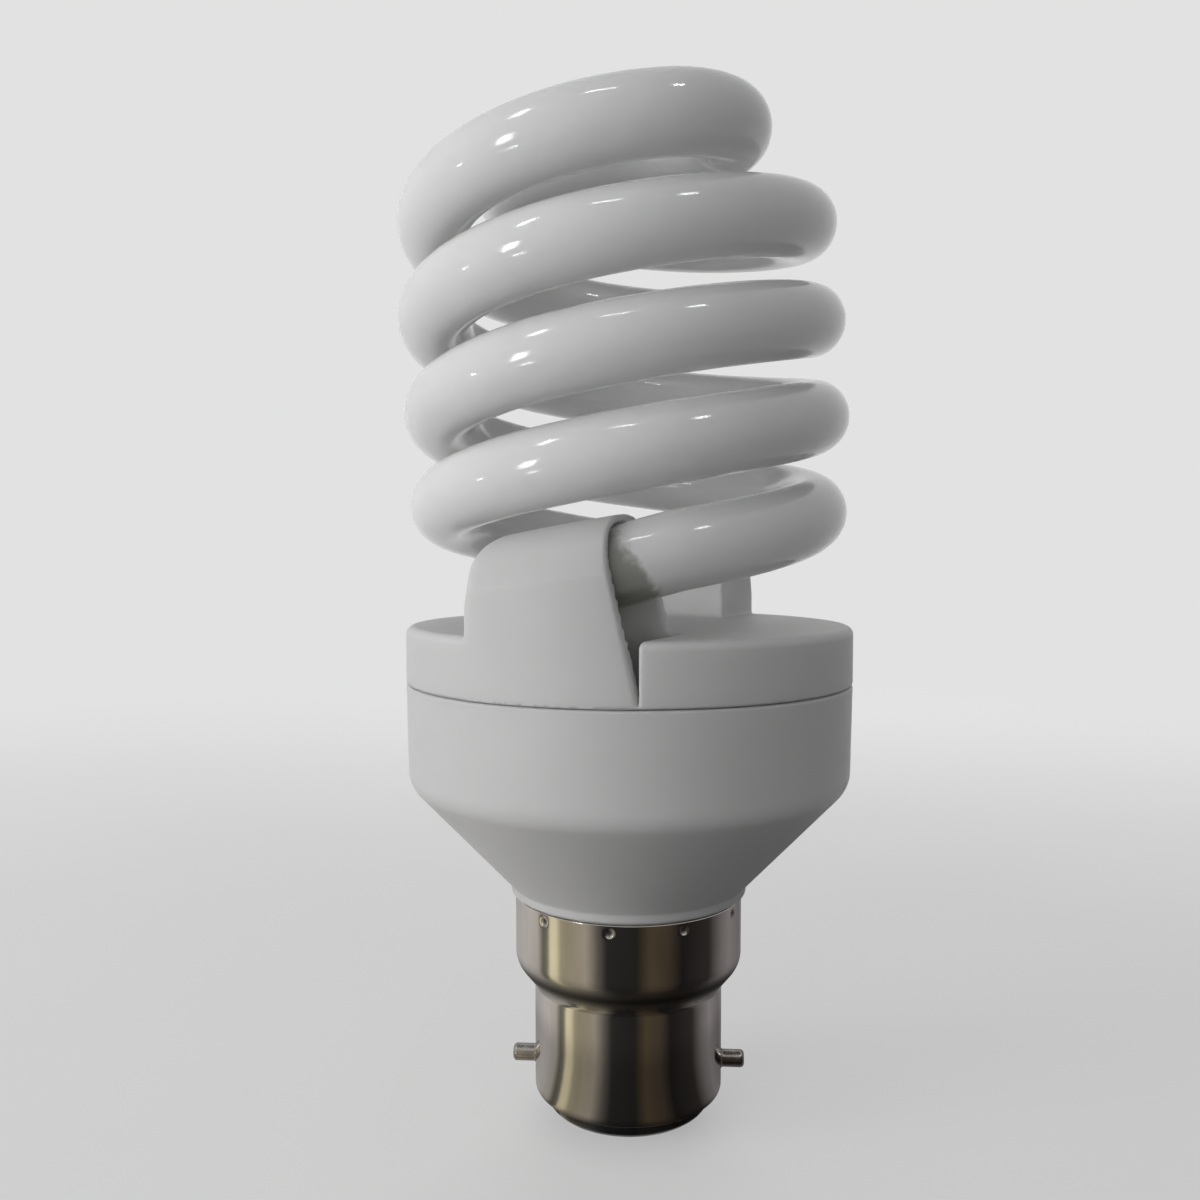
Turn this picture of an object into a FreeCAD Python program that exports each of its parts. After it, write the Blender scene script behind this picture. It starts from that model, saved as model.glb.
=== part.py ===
"""Spiral energy saving lamp with a two-pin bayonet cap, as a parametric document.

Lengths are millimetres and angles degrees. The origin is where the lamp's axis
crosses the axis of the two bayonet pins. +Z points up the axis to the spiral
and +X along one pin.
"""
import FreeCAD
import Part
import Sketcher
import math
import os
import re

# Driving sizes: name, value, meaning
SIZES = (
    ("neck_radius", 11.0, "outside of the metal cap's neck"),
    ("shell_wall", 0.4, "sheet metal of the cap"),
    ("rim_drop", 3.5, "pin axis down to the bottom of the metal"),
    ("rim_round", 0.9, "outer bend of the bottom rim"),
    ("rim_ledge", 0.8, "width of the rim that carries the glass"),
    ("neck_rise", 9.5, "pin axis up to the end of the neck"),
    ("neck_round", 1.0, "hollow bend between neck and shoulder"),
    ("skirt_radius", 13.24, "outside of the cap's skirt"),
    ("skirt_rise", 12.3, "pin axis up to the start of the skirt"),
    ("skirt_round", 3.0, "bend between shoulder and skirt"),
    ("skirt_top", 20.34, "pin axis up to the cap's upper edge"),
    ("dent_count", 10, "crimp dents around the skirt"),
    ("dent_drop", 1.15, "cap's upper edge down to the dents"),
    ("dent_radius", 0.85, "ball of the crimping punch"),
    ("dent_depth", 0.4, "depth of a crimp dent"),
    ("dent_turn_angle", -6.4, "turn of the row of dents from the pins"),
    ("pin_radius", 1.0, "bayonet pin"),
    ("pin_reach", 13.7, "lamp axis to the tip of a pin"),
    ("pin_tip_round", 0.45, "rounded edge of a pin's tip"),
    ("tenon_radius", 0.75, "pin's stem through the metal"),
    ("tenon_clear", 0.02, "play of the stem in its hole"),
    ("rivet_radius", 1.2, "riveted head inside the metal"),
    ("rivet_height", 0.45, "thickness of the riveted head"),
    ("glass_rise", 1.4, "height of the insulator inside the rim"),
    ("glass_clear", 0.04, "play between insulator and metal"),
    ("glass_drop", 2.1, "insulator below the metal rim"),
    ("glass_round", 1.9, "rounded edge under the insulator"),
    ("contact_offset", 4.5, "lamp axis to the middle of a contact"),
    ("contact_length", 5.6, "contact plate along the pins"),
    ("contact_width", 3.6, "contact plate across the pins"),
    ("contact_height", 0.9, "thickness of a contact plate"),
    ("contact_round", 1.7, "corners of a contact plate"),
    ("mains_lead_radius", 0.45, "lead from a contact to the board"),
    ("lead_hole_clear", 0.15, "play of that lead in the insulator"),
    ("housing_radius", 25.64, "outside of the housing at the seam"),
    ("housing_draft", 0.2, "narrowing of the housing's wall"),
    ("housing_wall", 1.6, "wall of the housing and of the cover"),
    ("wall_height", 11.26, "housing's straight wall, shoulder to seam"),
    ("seam_chamfer", 0.2, "edge bevels that show as the seam line"),
    ("cone_height", 12.4, "housing's cone, lip to shoulder"),
    ("shoulder_round", 3.5, "bend of the housing's shoulder"),
    ("lip_radius", 13.75, "foot of the housing above the cap"),
    ("lip_height", 1.06, "straight lip at the housing's foot"),
    ("cone_wall", 2.2, "upright thickness of the housing's cone"),
    ("sleeve_depth", 6.8, "sleeve that goes down inside the skirt"),
    ("sleeve_wall", 1.2, "wall of that sleeve"),
    ("sleeve_clear", 0.05, "play between sleeve and skirt"),
    ("ledge_drop", 6.06, "seam down to the board's seat"),
    ("ledge_width", 1.4, "width of the board's seat"),
    ("drum_height", 6.5, "seam up to the cover's deck"),
    ("deck_wall", 1.5, "thickness of the deck"),
    ("deck_round", 0.9, "rounded edge of the deck"),
    ("spigot_gap", 0.26, "gap between the cover's spigot and the board"),
    ("spigot_wall", 1.2, "wall of that spigot"),
    ("spigot_clear", 0.1, "play between spigot and housing"),
    ("spigot_root", 1.4, "height of the spigot's root above the seam"),
    ("bead_drop", 2.0, "seam down to the snap bead"),
    ("bead_height", 0.35, "snap bead on the spigot"),
    ("tube_radius", 4.08, "outside of the glass tube"),
    ("spiral_radius", 21.2, "lamp axis to the middle of the tube"),
    ("strand_rise", 21.1, "rise of one strand in a full turn"),
    ("spiral_turn_angle", 2.5, "angle from the pins to a strand's first side"),
    ("spiral_rise", 13.1, "deck up to the tube's middle at that side"),
    ("bridge_rise", 39.84, "that side up to the tube's middle on the axis"),
    ("bridge_lift_angle", 613.0, "strand angle where the rise to the bridge starts"),
    ("bridge_entry_angle", 645.0, "strand angle where the tube turns inwards"),
    ("lean_right_ratio", -0.0568, "sideways lean of the spiral for each mm of rise"),
    ("lean_back_ratio", -0.0312, "lean across the pins for each mm of rise"),
    ("lean_blend", 6.0, "height over which the lean sets in"),
    ("tilt_right_ratio", 0.02, "rise of the spiral's turns for each mm along the pins"),
    ("top_inset", 0.95, "narrowing of the spiral towards its top"),
    ("inset_from_angle", 419.0, "strand angle where that narrowing starts"),
    ("inset_to_angle", 624.0, "strand angle where it ends"),
    ("foot_start_angle", 50.0, "strand angle where the foot starts to move in"),
    ("foot_done_angle", -88.0, "strand angle where it has moved in"),
    ("drop_start_angle", -72.0, "strand angle where the foot starts to fall"),
    ("drop_done_angle", -108.0, "strand angle where it has fallen"),
    ("foot_drop", 1.1, "extra fall of the tube's foot"),
    ("foot_end_angle", -116.0, "strand angle of the sealed end"),
    ("foot_round", 1.2, "rounded edge of the sealed end"),
    ("hood_offset_angle", -113.3, "angle from a strand's first side to its hood"),
    ("hood_wall", 1.2, "wall of a hood"),
    ("hood_clear", 0.34, "play between tube and hood"),
    ("head_clear", 0.8, "room above the tube in its hood"),
    ("roof_wall", 0.75, "thickness of a hood's roof"),
    ("hood_closed", 7.4, "hood's middle to its closed end"),
    ("hood_corner", 3.4, "rounded corner above the closed end"),
    ("hood_mouth", 8.53, "hood's middle to its mouth beside the tube"),
    ("hood_slant_ratio", 0.203, "run of the slanted mouth for each mm of fall"),
    ("hood_slot", 10.9, "hood's middle to the far side of its slot"),
    ("hood_span_angle", 45.0, "angle of a hood's arch to each side of its middle"),
    ("pocket_round_ratio", 0.95, "share of a pocket's half width taken by its rounding"),
    ("roof_round", 4.0, "rounded long edges of a hood's roof"),
    ("roof_inset", 1.5, "inward slope of the outer wall above the bend"),
    ("cement_start_angle", 2.0, "angle from the sealed end to the cement"),
    ("cement_span_angle", 20.0, "angle covered by the cement under a foot"),
    ("cement_depth", 9.0, "cement below the middle of the tube"),
    ("cement_clear", 0.08, "joint between cement and its neighbours"),
    ("board_thickness", 1.6, "circuit board"),
    ("board_clear", 0.3, "play between board and housing"),
    ("post_side", 0.9, "square wire post"),
    ("post_height", 6.5, "wire post above the board"),
    ("filament_lead_radius", 0.3, "lead from the tube to its post"),
    ("filament_lead_spread", 3.2, "distance between the two leads of a foot"),
    ("filament_lead_bend", 1.4, "bend of such a lead"),
    ("filament_lead_gap", 0.1, "joint between such a lead and the glass"),
    ("filament_lead_run", 0.8, "straight start of such a lead"),
    ("can_radius", 5.0, "electrolytic capacitor"),
    ("can_height", 16.0, "electrolytic capacitor"),
    ("can_groove", 0.4, "rolled groove near its foot"),
    ("can_x", 6.2, "place of that capacitor"),
    ("choke_x", -6.9, "place of the lamp choke"),
    ("choke_core_width", 13.0, "ferrite core across the pins"),
    ("choke_core_depth", 4.6, "ferrite core along the pins"),
    ("choke_core_height", 12.0, "ferrite core"),
    ("choke_leg", 2.2, "outer legs and yokes of the core"),
    ("choke_middle_leg", 4.0, "middle leg of the core"),
    ("bobbin_wall", 0.6, "wall of the choke's bobbin"),
    ("bobbin_clear", 0.1, "play between core and bobbin"),
    ("winding_depth", 2.6, "winding beyond the bobbin's tube along the pins"),
    ("winding_clear", 0.05, "play around the windings"),
    ("ring_radius", 4.7, "outside of the ring core"),
    ("ring_hole_radius", 2.5, "hole of the ring core"),
    ("ring_height", 3.2, "ring core"),
    ("ring_coil_width", 2.4, "width of a coil on the ring"),
    ("ring_coil_wire", 0.6, "wire thickness of a coil on the ring"),
    ("ring_x", -2.0, "place of the ring core"),
    ("ring_y", -13.5, "place of the ring core"),
    ("transistor_width", 7.8, "transistor body"),
    ("transistor_depth", 3.0, "transistor body"),
    ("transistor_height", 10.6, "transistor body"),
    ("transistor_leg", 1.4, "length of its legs"),
    ("transistor_leg_side", 0.6, "thickness of its legs"),
    ("transistor_leg_pitch", 2.3, "spacing of its legs"),
    ("transistor_spread", 9.4, "distance between the two transistors"),
    ("transistor_y", 10.6, "place of the transistors"),
    ("diode_radius", 1.35, "rectifier diode"),
    ("diode_height", 5.2, "rectifier diode"),
    ("diode_pitch", 4.0, "spacing of the diodes"),
    ("diode_x", -17.0, "place of the row of diodes"),
    ("film_length", 7.2, "film capacitor"),
    ("film_width", 3.4, "film capacitor"),
    ("film_height", 7.0, "film capacitor"),
    ("film_pitch", 9.5, "spacing of the film capacitors"),
    ("film_x", 15.5, "place of the film capacitors"),
    ("film_y", -1.7, "place of the film capacitors"),
    ("resistor_radius", 1.2, "resistor"),
    ("resistor_height", 6.0, "resistor"),
    ("resistor_start_angle", -70.0, "direction of the first resistor"),
    ("resistor_step_angle", 13.0, "angle between the resistors"),
    ("resistor_place", 17.2, "lamp axis to the resistors"),
    ("fuse_radius", 1.6, "fusible resistor"),
    ("fuse_height", 9.0, "fusible resistor"),
    ("fuse_x", 5.6, "place of the fusible resistor"),
    ("fuse_y", -10.2, "place of the fusible resistor"),
    ("trigger_radius", 0.95, "trigger diode"),
    ("trigger_height", 4.0, "trigger diode"),
    ("trigger_x", 14.0, "place of the trigger diode"),
    ("trigger_y", 11.0, "place of the trigger diode"),
    ("filter_radius", 3.4, "filter choke"),
    ("filter_height", 8.0, "filter choke"),
    ("filter_flange", 1.0, "flanges of the filter choke"),
    ("filter_stem", 1.8, "stem of the filter choke"),
    ("filter_x", -12.3, "place of the filter choke"),
    ("filter_y", -10.0, "place of the filter choke"),
)
NAMES = {name for name, value, meaning in SIZES}

# Sizes that follow from the driving ones
FORMULAS = {
    "shell_inside": "(neck_radius - shell_wall)",
    "skirt_inside": "(skirt_radius - shell_wall)",
    "glass_foot": "(-rim_drop - glass_drop)",
    "lip_top": "(skirt_top + lip_height)",
    "shoulder_height": "(lip_top + cone_height)",
    "seam_height": "(shoulder_height + wall_height)",
    "seam_edge": "(seam_height + seam_chamfer)",
    "bead_middle": "(seam_height - bead_drop)",
    "ledge_height": "(seam_height - ledge_drop)",
    "deck_height": "(seam_height + drum_height)",
    "wall_foot": "(housing_radius - housing_draft)",
    "housing_inside": "(housing_radius - housing_wall)",
    "ledge_inside": "(housing_inside - ledge_width)",
    "cone_slope": "((wall_foot - lip_radius) / cone_height)",
    "sleeve_outside": "(skirt_inside - sleeve_clear)",
    "sleeve_inside": "(sleeve_outside - sleeve_wall)",
    "spigot_outside": "(housing_inside - spigot_clear)",
    "spigot_inside": "(spigot_outside - spigot_wall)",
    "spigot_foot": "(board_top + spigot_gap)",
    "board_top": "(ledge_height + board_thickness)",
    "spiral_base": "(deck_height + spiral_rise)",
    "bridge_height": "(spiral_base + bridge_rise)",
    "pocket_half": "(tube_radius + hood_clear)",
    "pocket_top": "(tube_radius + head_clear)",
    "hood_half": "(pocket_half + hood_wall)",
    "roof_top": "(pocket_top + roof_wall)",
    "foot_radius": "(housing_radius - hood_half)",
    "hood_legs": "(seam_height - spiral_base - strand_rise)",
    "hood_angle": "(spiral_turn_angle + hood_offset_angle)",
    "closed_angle": "(-asin(hood_closed / housing_radius) / 1 deg)",
    "slot_angle": "(asin(hood_slot / housing_radius) / 1 deg)",
}

document = FreeCAD.newDocument("SpiralLamp")
sheet = document.addObject("Spreadsheet::Sheet", "Sizes")
sizes_now = {}
pieces = {}


def fill_sheet():
    """Write every driving size to the sheet, with its name as alias."""
    for row, (name, value, meaning) in enumerate(SIZES, start=1):
        sheet.set(f"A{row}", name)
        sheet.set(f"B{row}", str(value))
        sheet.set(f"C{row}", meaning)
        sheet.setAlias(f"B{row}", name)
    document.recompute()
    sizes_now.update({name: number(name) for name in (*NAMES, *FORMULAS)})


def bind(formula):
    """Turn a formula on size names into an expression on the sheet."""
    def cell(word):
        name = word.group()
        if name in FORMULAS:
            return bind(FORMULAS[name])
        return "Sizes." + name if name in NAMES else name
    return re.sub(r"[a-z][a-z_]*", cell, formula)


def number(formula):
    """Work out a formula on size names."""
    return float(sheet.evalExpression(bind(formula)))


def bind_sizes(feature, **formulas):
    """Bind properties of a feature to formulas on size names."""
    for name, formula in formulas.items():
        feature.setExpression(name, bind(formula))
    return feature


def put(feature, x="0", y="0", z="0"):
    """Bind the position of a feature to three formulas."""
    for axis, formula in (("x", x), ("y", y), ("z", z)):
        feature.setExpression(f"Placement.Base.{axis}", bind(formula))
    return feature


def turn(feature, angle):
    """Turn a feature about the lamp's axis by a formula in degrees."""
    feature.Placement = FreeCAD.Placement(FreeCAD.Vector(), FreeCAD.Rotation(FreeCAD.Vector(0, 0, 1), 1))
    feature.setExpression("Placement.Rotation.Angle", f"({bind(angle)}) * 1 deg")
    return feature


def keep(label, feature):
    """Name a finished piece, so that it is checked and written."""
    feature.Label = label
    pieces[label] = feature
    return feature


def outline(body, name, corners, offset=None):
    """Draw a closed outline on a body's upright XZ plane.

    Each corner is two formulas, across and up, and may have a third for the
    radius of its rounding.
    """
    sketch = body.newObject("Sketcher::SketchObject", name)
    plane = [item for item in body.Origin.OriginFeatures if item.Role == "XZ_Plane"][0]
    sketch.AttachmentSupport = [(plane, "")]
    sketch.MapMode = "FlatFace"
    if offset:
        sketch.setExpression("AttachmentOffset.Base.z", bind(offset))
    places = [FreeCAD.Vector(number(corner[0]), number(corner[1]), 0) for corner in corners]
    count = len(corners)
    arrive, leave, arcs = [], [], {}
    for index, corner in enumerate(corners):
        here = places[index]
        back = (here - places[index - 1]).normalize()
        ahead = (places[(index + 1) % count] - here).normalize()
        if len(corner) == 2:
            arrive.append(here)
            leave.append(here)
            continue
        radius = number(corner[2])
        length = radius * math.tan(back.getAngle(ahead) / 2)
        arrive.append(here - back * length)
        leave.append(here + ahead * length)
        left = back.x * ahead.y - back.y * ahead.x > 0
        side = FreeCAD.Vector(-back.y, back.x, 0) * (radius if left else -radius)
        arcs[index] = (arrive[-1] + side, radius, left)
    for index in range(count):
        sketch.addGeometry(Part.LineSegment(leave[index], arrive[(index + 1) % count]), False)
    for index, corner in enumerate(corners):
        before = (index - 1) % count
        if index in arcs:
            round_corner(sketch, before, index, arrive[index], leave[index], arcs[index], corner[2])
            point = sketch.addGeometry(Part.Point(places[index]), True)
            sketch.addConstraint(Sketcher.Constraint("PointOnObject", point, 1, before))
            sketch.addConstraint(Sketcher.Constraint("PointOnObject", point, 1, index))
        else:
            sketch.addConstraint(Sketcher.Constraint("Coincident", before, 2, index, 1))
            point = index
        for kind, formula in (("DistanceX", corner[0]), ("DistanceY", corner[1])):
            size = sketch.addConstraint(Sketcher.Constraint(kind, -1, 1, point, 1, number(formula)))
            sketch.setExpression(f"Constraints[{size}]", bind(formula))
    return sketch


def round_corner(sketch, before, after, start, end, arc, formula):
    """Join two lines of a sketch by a tangent arc."""
    centre, radius, left = arc
    first, last = (start, end) if left else (end, start)
    angles = [math.atan2(place.y - centre.y, place.x - centre.x) for place in (first, last)]
    circle = Part.Circle(centre, FreeCAD.Vector(0, 0, 1), radius)
    curve = sketch.addGeometry(Part.ArcOfCircle(circle, angles[0], angles[1]), False)
    sketch.addConstraint(Sketcher.Constraint("Tangent", before, 2, curve, 1 if left else 2))
    sketch.addConstraint(Sketcher.Constraint("Tangent", curve, 2 if left else 1, after, 1))
    size = sketch.addConstraint(Sketcher.Constraint("Radius", curve, radius))
    sketch.setExpression(f"Constraints[{size}]", bind(formula))


def turned(name, corners, axis="V_Axis"):
    """Make a turned body from a half section: radius and height of each corner."""
    body = document.addObject("PartDesign::Body", name)
    section = outline(body, name + "_section", corners)
    feature = body.newObject("PartDesign::Revolution", name + "_turned")
    feature.Profile = section
    feature.ReferenceAxis = (section, [axis])
    feature.Angle = 360
    return body


def plate(name, corners, depth, offset=None):
    """Make a body by padding an outline from the XZ plane towards -Y."""
    body = document.addObject("PartDesign::Body", name)
    section = outline(body, name + "_outline", corners, offset)
    feature = body.newObject("PartDesign::Pad", name + "_pad")
    feature.Profile = section
    feature.setExpression("Length", bind(depth))
    return body


def cylinder(name, radius, height, x="0", y="0", z="0"):
    """Make an upright cylinder that stands at a point."""
    feature = document.addObject("Part::Cylinder", name)
    return put(bind_sizes(feature, Radius=radius, Height=height), x, y, z)


def block(name, width, depth, height, x="0", y="0", z="0"):
    """Make a block centred on a point of its lower face."""
    feature = document.addObject("Part::Box", name)
    bind_sizes(feature, Length=width, Width=depth, Height=height)
    return put(feature, f"({x}) - ({width}) / 2", f"({y}) - ({depth}) / 2", z)


def cut(name, base, tool):
    """Cut one feature by another."""
    feature = document.addObject("Part::Cut", name)
    feature.Base = base
    feature.Tool = tool
    return feature


def combine(kind, name, members):
    """Join features: kind is Part::MultiFuse or Part::MultiCommon."""
    feature = document.addObject(kind, name)
    feature.Shapes = members
    return feature


def group(name, members):
    """Collect separate solids that share one name."""
    feature = document.addObject("Part::Compound", name)
    feature.Links = members
    return feature


def shaped(name, shape):
    """Add a finished shape to the document."""
    feature = document.addObject("Part::Feature", name)
    feature.Shape = shape
    return feature


def make_cap():
    """Metal cap with its crimp dents, pins, insulator and contacts."""
    corners = [
        ("shell_inside - rim_ledge", "-rim_drop"),
        ("neck_radius", "-rim_drop", "rim_round"),
        ("neck_radius", "neck_rise", "neck_round"),
        ("skirt_radius", "skirt_rise", "skirt_round"),
        ("skirt_radius", "skirt_top"),
        ("skirt_inside", "skirt_top"),
        ("skirt_inside", "skirt_rise", "skirt_round - shell_wall"),
        ("shell_inside", "neck_rise", "neck_round + shell_wall"),
        ("shell_inside", "-rim_drop + shell_wall", "rim_round - shell_wall"),
        ("shell_inside - rim_ledge", "-rim_drop + shell_wall"),
    ]
    shell = turned("shell_blank", corners)
    bumps, dents = crimps("shell", "dent_radius + shell_wall"), crimps("punch", "dent_radius")
    hollow = cylinder("skirt_hollow", "skirt_inside + shell_wall / 2", "skirt_top - skirt_rise",
                      z="skirt_rise")
    bulges = combine("Part::MultiCommon", "crimp_bulges", [bumps, hollow])
    pressed = combine("Part::MultiFuse", "shell_bulged", [shell, bulges])
    hole = cylinder("tenon_hole", "tenon_radius + tenon_clear", "2 * pin_reach")
    hole.Placement = FreeCAD.Placement(FreeCAD.Vector(), FreeCAD.Rotation(FreeCAD.Vector(0, 1, 0), 90))
    put(hole, "-pin_reach")
    tools = combine("Part::MultiFuse", "shell_cuts", [dents, hole])
    keep("cap_shell", cut("shell_finished", pressed, tools))
    keep("bayonet_pins", group("pin_pair", [make_pin("pin_right", "0"), make_pin("pin_left", "180")]))
    make_insulator()


def crimps(name, radius):
    """Balls of one radius around the skirt, where the crimping punch works."""
    balls = []
    for index in range(round(number("dent_count"))):
        place = f"{index + 0.5} * 360 / dent_count + dent_turn_angle"
        ball = bind_sizes(document.addObject("Part::Sphere", f"{name}_ball_{index}"), Radius=radius)
        reach = "(skirt_radius + dent_radius - dent_depth)"
        put(ball, f"{reach} * cos(({place}) * 1 deg)", f"{reach} * sin(({place}) * 1 deg)",
            "skirt_top - dent_drop")
        balls.append(ball)
    return combine("Part::MultiFuse", f"{name}_balls", balls)


def make_pin(name, angle):
    """Bayonet pin with a riveted stem through the metal."""
    seat = "sqrt(shell_inside * shell_inside - rivet_radius * rivet_radius)"
    corners = [
        (f"{seat} - rivet_height", "0"),
        ("pin_reach", "0"),
        ("pin_reach", "pin_radius", "pin_tip_round"),
        ("neck_radius", "pin_radius"),
        ("neck_radius", "tenon_radius"),
        (seat, "tenon_radius"),
        (seat, "rivet_radius"),
        (f"{seat} - rivet_height", "rivet_radius"),
    ]
    return turn(turned(name, corners, "H_Axis"), angle)


def make_insulator():
    """Black glass in the rim of the cap, with its two contact plates."""
    seat = "(-rim_drop + shell_wall)"
    waist = "(shell_inside - rim_ledge - glass_clear)"
    corners = [
        ("0", "glass_foot"),
        (waist, "glass_foot", "glass_round"),
        (waist, seat),
        ("shell_inside - rim_round + shell_wall", seat),
        ("shell_inside - glass_clear", f"{seat} + rim_round - shell_wall"),
        ("shell_inside - glass_clear", f"{seat} + glass_rise"),
        ("0", f"{seat} + glass_rise"),
    ]
    glass = turned("glass_blank", corners)
    holes, plates, leads = [], [], []
    for side, word in ((1, "far"), (-1, "near")):
        middle = f"{side} * contact_offset"
        holes.append(cylinder(f"lead_hole_{word}", "mains_lead_radius + lead_hole_clear",
                              "glass_drop + shell_wall + 3 * glass_rise",
                              y=middle, z="glass_foot - glass_rise"))
        contact = plate(f"contact_{word}", [
            ("-contact_length / 2", "-contact_width / 2", "contact_round"),
            ("contact_length / 2", "-contact_width / 2", "contact_round"),
            ("contact_length / 2", "contact_width / 2", "contact_round"),
            ("-contact_length / 2", "contact_width / 2", "contact_round"),
        ], "contact_height")
        upright = FreeCAD.Rotation(FreeCAD.Vector(1, 0, 0), 90)
        contact.Placement = FreeCAD.Placement(FreeCAD.Vector(), upright)
        plates.append(put(contact, y=middle, z="glass_foot"))
        leads.append(cylinder(f"mains_lead_{word}", "mains_lead_radius", "ledge_height - glass_foot",
                              y=middle, z="glass_foot"))
    keep("cap_insulator", cut("glass_finished", glass, combine("Part::MultiFuse", "lead_holes", holes)))
    keep("contact_plates", group("contact_pair", plates))
    keep("mains_leads", group("mains_lead_pair", leads))


def make_housing():
    """Cup that holds the board, with a cone and a sleeve for the cap."""
    inner_cone_top = "(lip_top + cone_wall + (ledge_inside - lip_radius) / cone_slope)"
    inner_cone_foot = "(lip_top + cone_wall + (sleeve_inside - lip_radius) / cone_slope)"
    corners = [
        ("sleeve_inside", "skirt_top - sleeve_depth"),
        ("sleeve_outside", "skirt_top - sleeve_depth"),
        ("sleeve_outside", "skirt_top"),
        ("lip_radius", "skirt_top"),
        ("lip_radius", "lip_top"),
        ("wall_foot", "shoulder_height", "shoulder_round"),
        ("housing_radius", "seam_height - seam_chamfer"),
        ("housing_radius - seam_chamfer", "seam_height"),
        ("housing_inside", "seam_height"),
        ("housing_inside", "bead_middle + bead_height"),
        ("housing_inside + bead_height", "bead_middle"),
        ("housing_inside", "bead_middle - bead_height"),
        ("housing_inside", "ledge_height"),
        ("ledge_inside", "ledge_height"),
        ("ledge_inside", inner_cone_top),
        ("sleeve_inside", inner_cone_foot),
    ]
    blank = turned("housing_blank", corners)
    recesses = crimps("recess", "dent_radius + shell_wall + sleeve_clear")
    keep("ballast_housing", cut("housing_finished", blank, recesses))


def make_cover():
    """Drum that closes the housing, with two hoods for the tube's feet."""
    root = "(seam_height + spigot_root)"
    corners = [
        ("spigot_inside", "spigot_foot"),
        ("spigot_outside", "spigot_foot"),
        ("spigot_outside", "bead_middle - bead_height"),
        ("spigot_outside + bead_height", "bead_middle"),
        ("spigot_outside", "bead_middle + bead_height"),
        ("spigot_outside", "seam_height"),
        ("housing_radius - seam_chamfer", "seam_height"),
        ("housing_radius", "seam_edge"),
        ("housing_radius", "deck_height", "deck_round"),
        ("0", "deck_height"),
        ("0", "deck_height - deck_wall"),
        ("housing_inside", "deck_height - deck_wall"),
        ("housing_inside", f"{root} + spigot_wall"),
        ("spigot_inside", root),
    ]
    solids, tools = [turned("drum", corners)], []
    for index, half_turn in enumerate(("0", "180"), start=1):
        angle = f"hood_angle + {half_turn}"
        solids.append(make_hood(index, angle))
        tools += [make_pocket(index, angle), make_slot(index, angle)]
    joined = combine("Part::MultiFuse", "cover_joined", solids)
    hollows = combine("Part::MultiFuse", "cover_cuts", tools)
    keep("tube_holder_cover", cut("cover_finished", joined, hollows))


def foot_height(angle):
    """Formula for the height of a foot's middle at an angle from the hood's face."""
    return f"(spiral_base - foot_drop + strand_rise * (hood_angle - spiral_turn_angle + {angle}) / 360)"


def mouth(height):
    """Formula for the distance of the slanted mouth from the hood's middle."""
    return f"(hood_mouth - hood_slant_ratio * ({height} - {foot_height('0')}))"


def along_foot(name, corners, angle, start, sweep):
    """Carry an upright section along a foot of the spiral.

    The section's corners are the radius and the height over the tube's middle.
    """
    body = document.addObject("PartDesign::Body", name)
    section = outline(body, name + "_section", corners)
    feature = body.newObject("PartDesign::AdditiveHelix", name + "_helix")
    feature.Profile = section
    feature.ReferenceAxis = (section, ["V_Axis"])
    feature.Mode = 0
    feature.setExpression("Pitch", bind("strand_rise"))
    feature.setExpression("Height", bind(f"strand_rise * ({sweep}) / 360"))
    turn(body, f"{angle} + ({start})")
    return put(body, z=foot_height(start))


def faced(name, corners, angle, depth, offset=None):
    """Pad an outline drawn on a hood's face, along the way the hood faces."""
    return turn(plate(name, corners, depth, offset), f"{angle} + 90")


def make_hood(index, angle):
    """Outside of a hood: an arch along the foot, cut to the hood's outline."""
    corners = [
        ("foot_radius - hood_half", "hood_legs"),
        ("housing_radius + roof_inset", "hood_legs"),
        ("housing_radius + roof_inset", "-roof_top"),
        ("housing_radius - roof_inset", "roof_top", "roof_round"),
        ("foot_radius - hood_half", "roof_top", "roof_round"),
    ]
    arch = along_foot(f"hood_arch_{index}", corners, angle, "-hood_span_angle", "2 * hood_span_angle")
    roof = f"({foot_height('closed_angle')} + roof_top)"
    crown = f"({foot_height('slot_angle')} + roof_top)"
    face = faced(f"hood_face_{index}", [
        ("-hood_closed", "seam_edge"),
        (mouth("seam_edge"), "seam_edge"),
        (mouth(crown), crown),
        ("-hood_closed", roof, "hood_corner"),
    ], angle, "housing_radius + hood_wall")
    rim = cylinder(f"hood_rim_{index}", "housing_radius", crown)
    return combine("Part::MultiCommon", f"hood_{index}", [arch, face, rim])


def make_pocket(index, angle):
    """Hollow of a hood, which the tube's foot lies in."""
    rounding = "pocket_round_ratio * pocket_half"
    corners = [
        ("foot_radius - pocket_half", "hood_legs"),
        ("foot_radius + pocket_half", "hood_legs"),
        ("foot_radius + pocket_half", "pocket_top", rounding),
        ("foot_radius - pocket_half", "pocket_top", rounding),
    ]
    arch = along_foot(f"pocket_arch_{index}", corners, angle, "-hood_span_angle", "2 * hood_span_angle")
    high = f"({foot_height('hood_span_angle')} + roof_top)"
    roof = f"({foot_height('closed_angle')} + pocket_top)"
    face = faced(f"pocket_face_{index}", [
        ("-hood_closed + hood_wall", "seam_edge"),
        ("hood_slot", "seam_edge"),
        ("hood_slot", high),
        ("-hood_closed + hood_wall", roof, "hood_corner - hood_wall"),
    ], angle, "housing_radius + hood_wall")
    return combine("Part::MultiCommon", f"pocket_{index}", [arch, face])


def make_slot(index, angle):
    """Slanted slot that the hood's mouth leaves in the drum's wall."""
    low, high = "seam_edge", "(deck_height + deck_wall)"
    return faced(f"slot_{index}", [
        (mouth(low), low),
        ("hood_slot", low),
        ("hood_slot", high),
        (mouth(high), high),
    ], angle, "2 * hood_half + hood_wall", "foot_radius - pocket_half")


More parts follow.
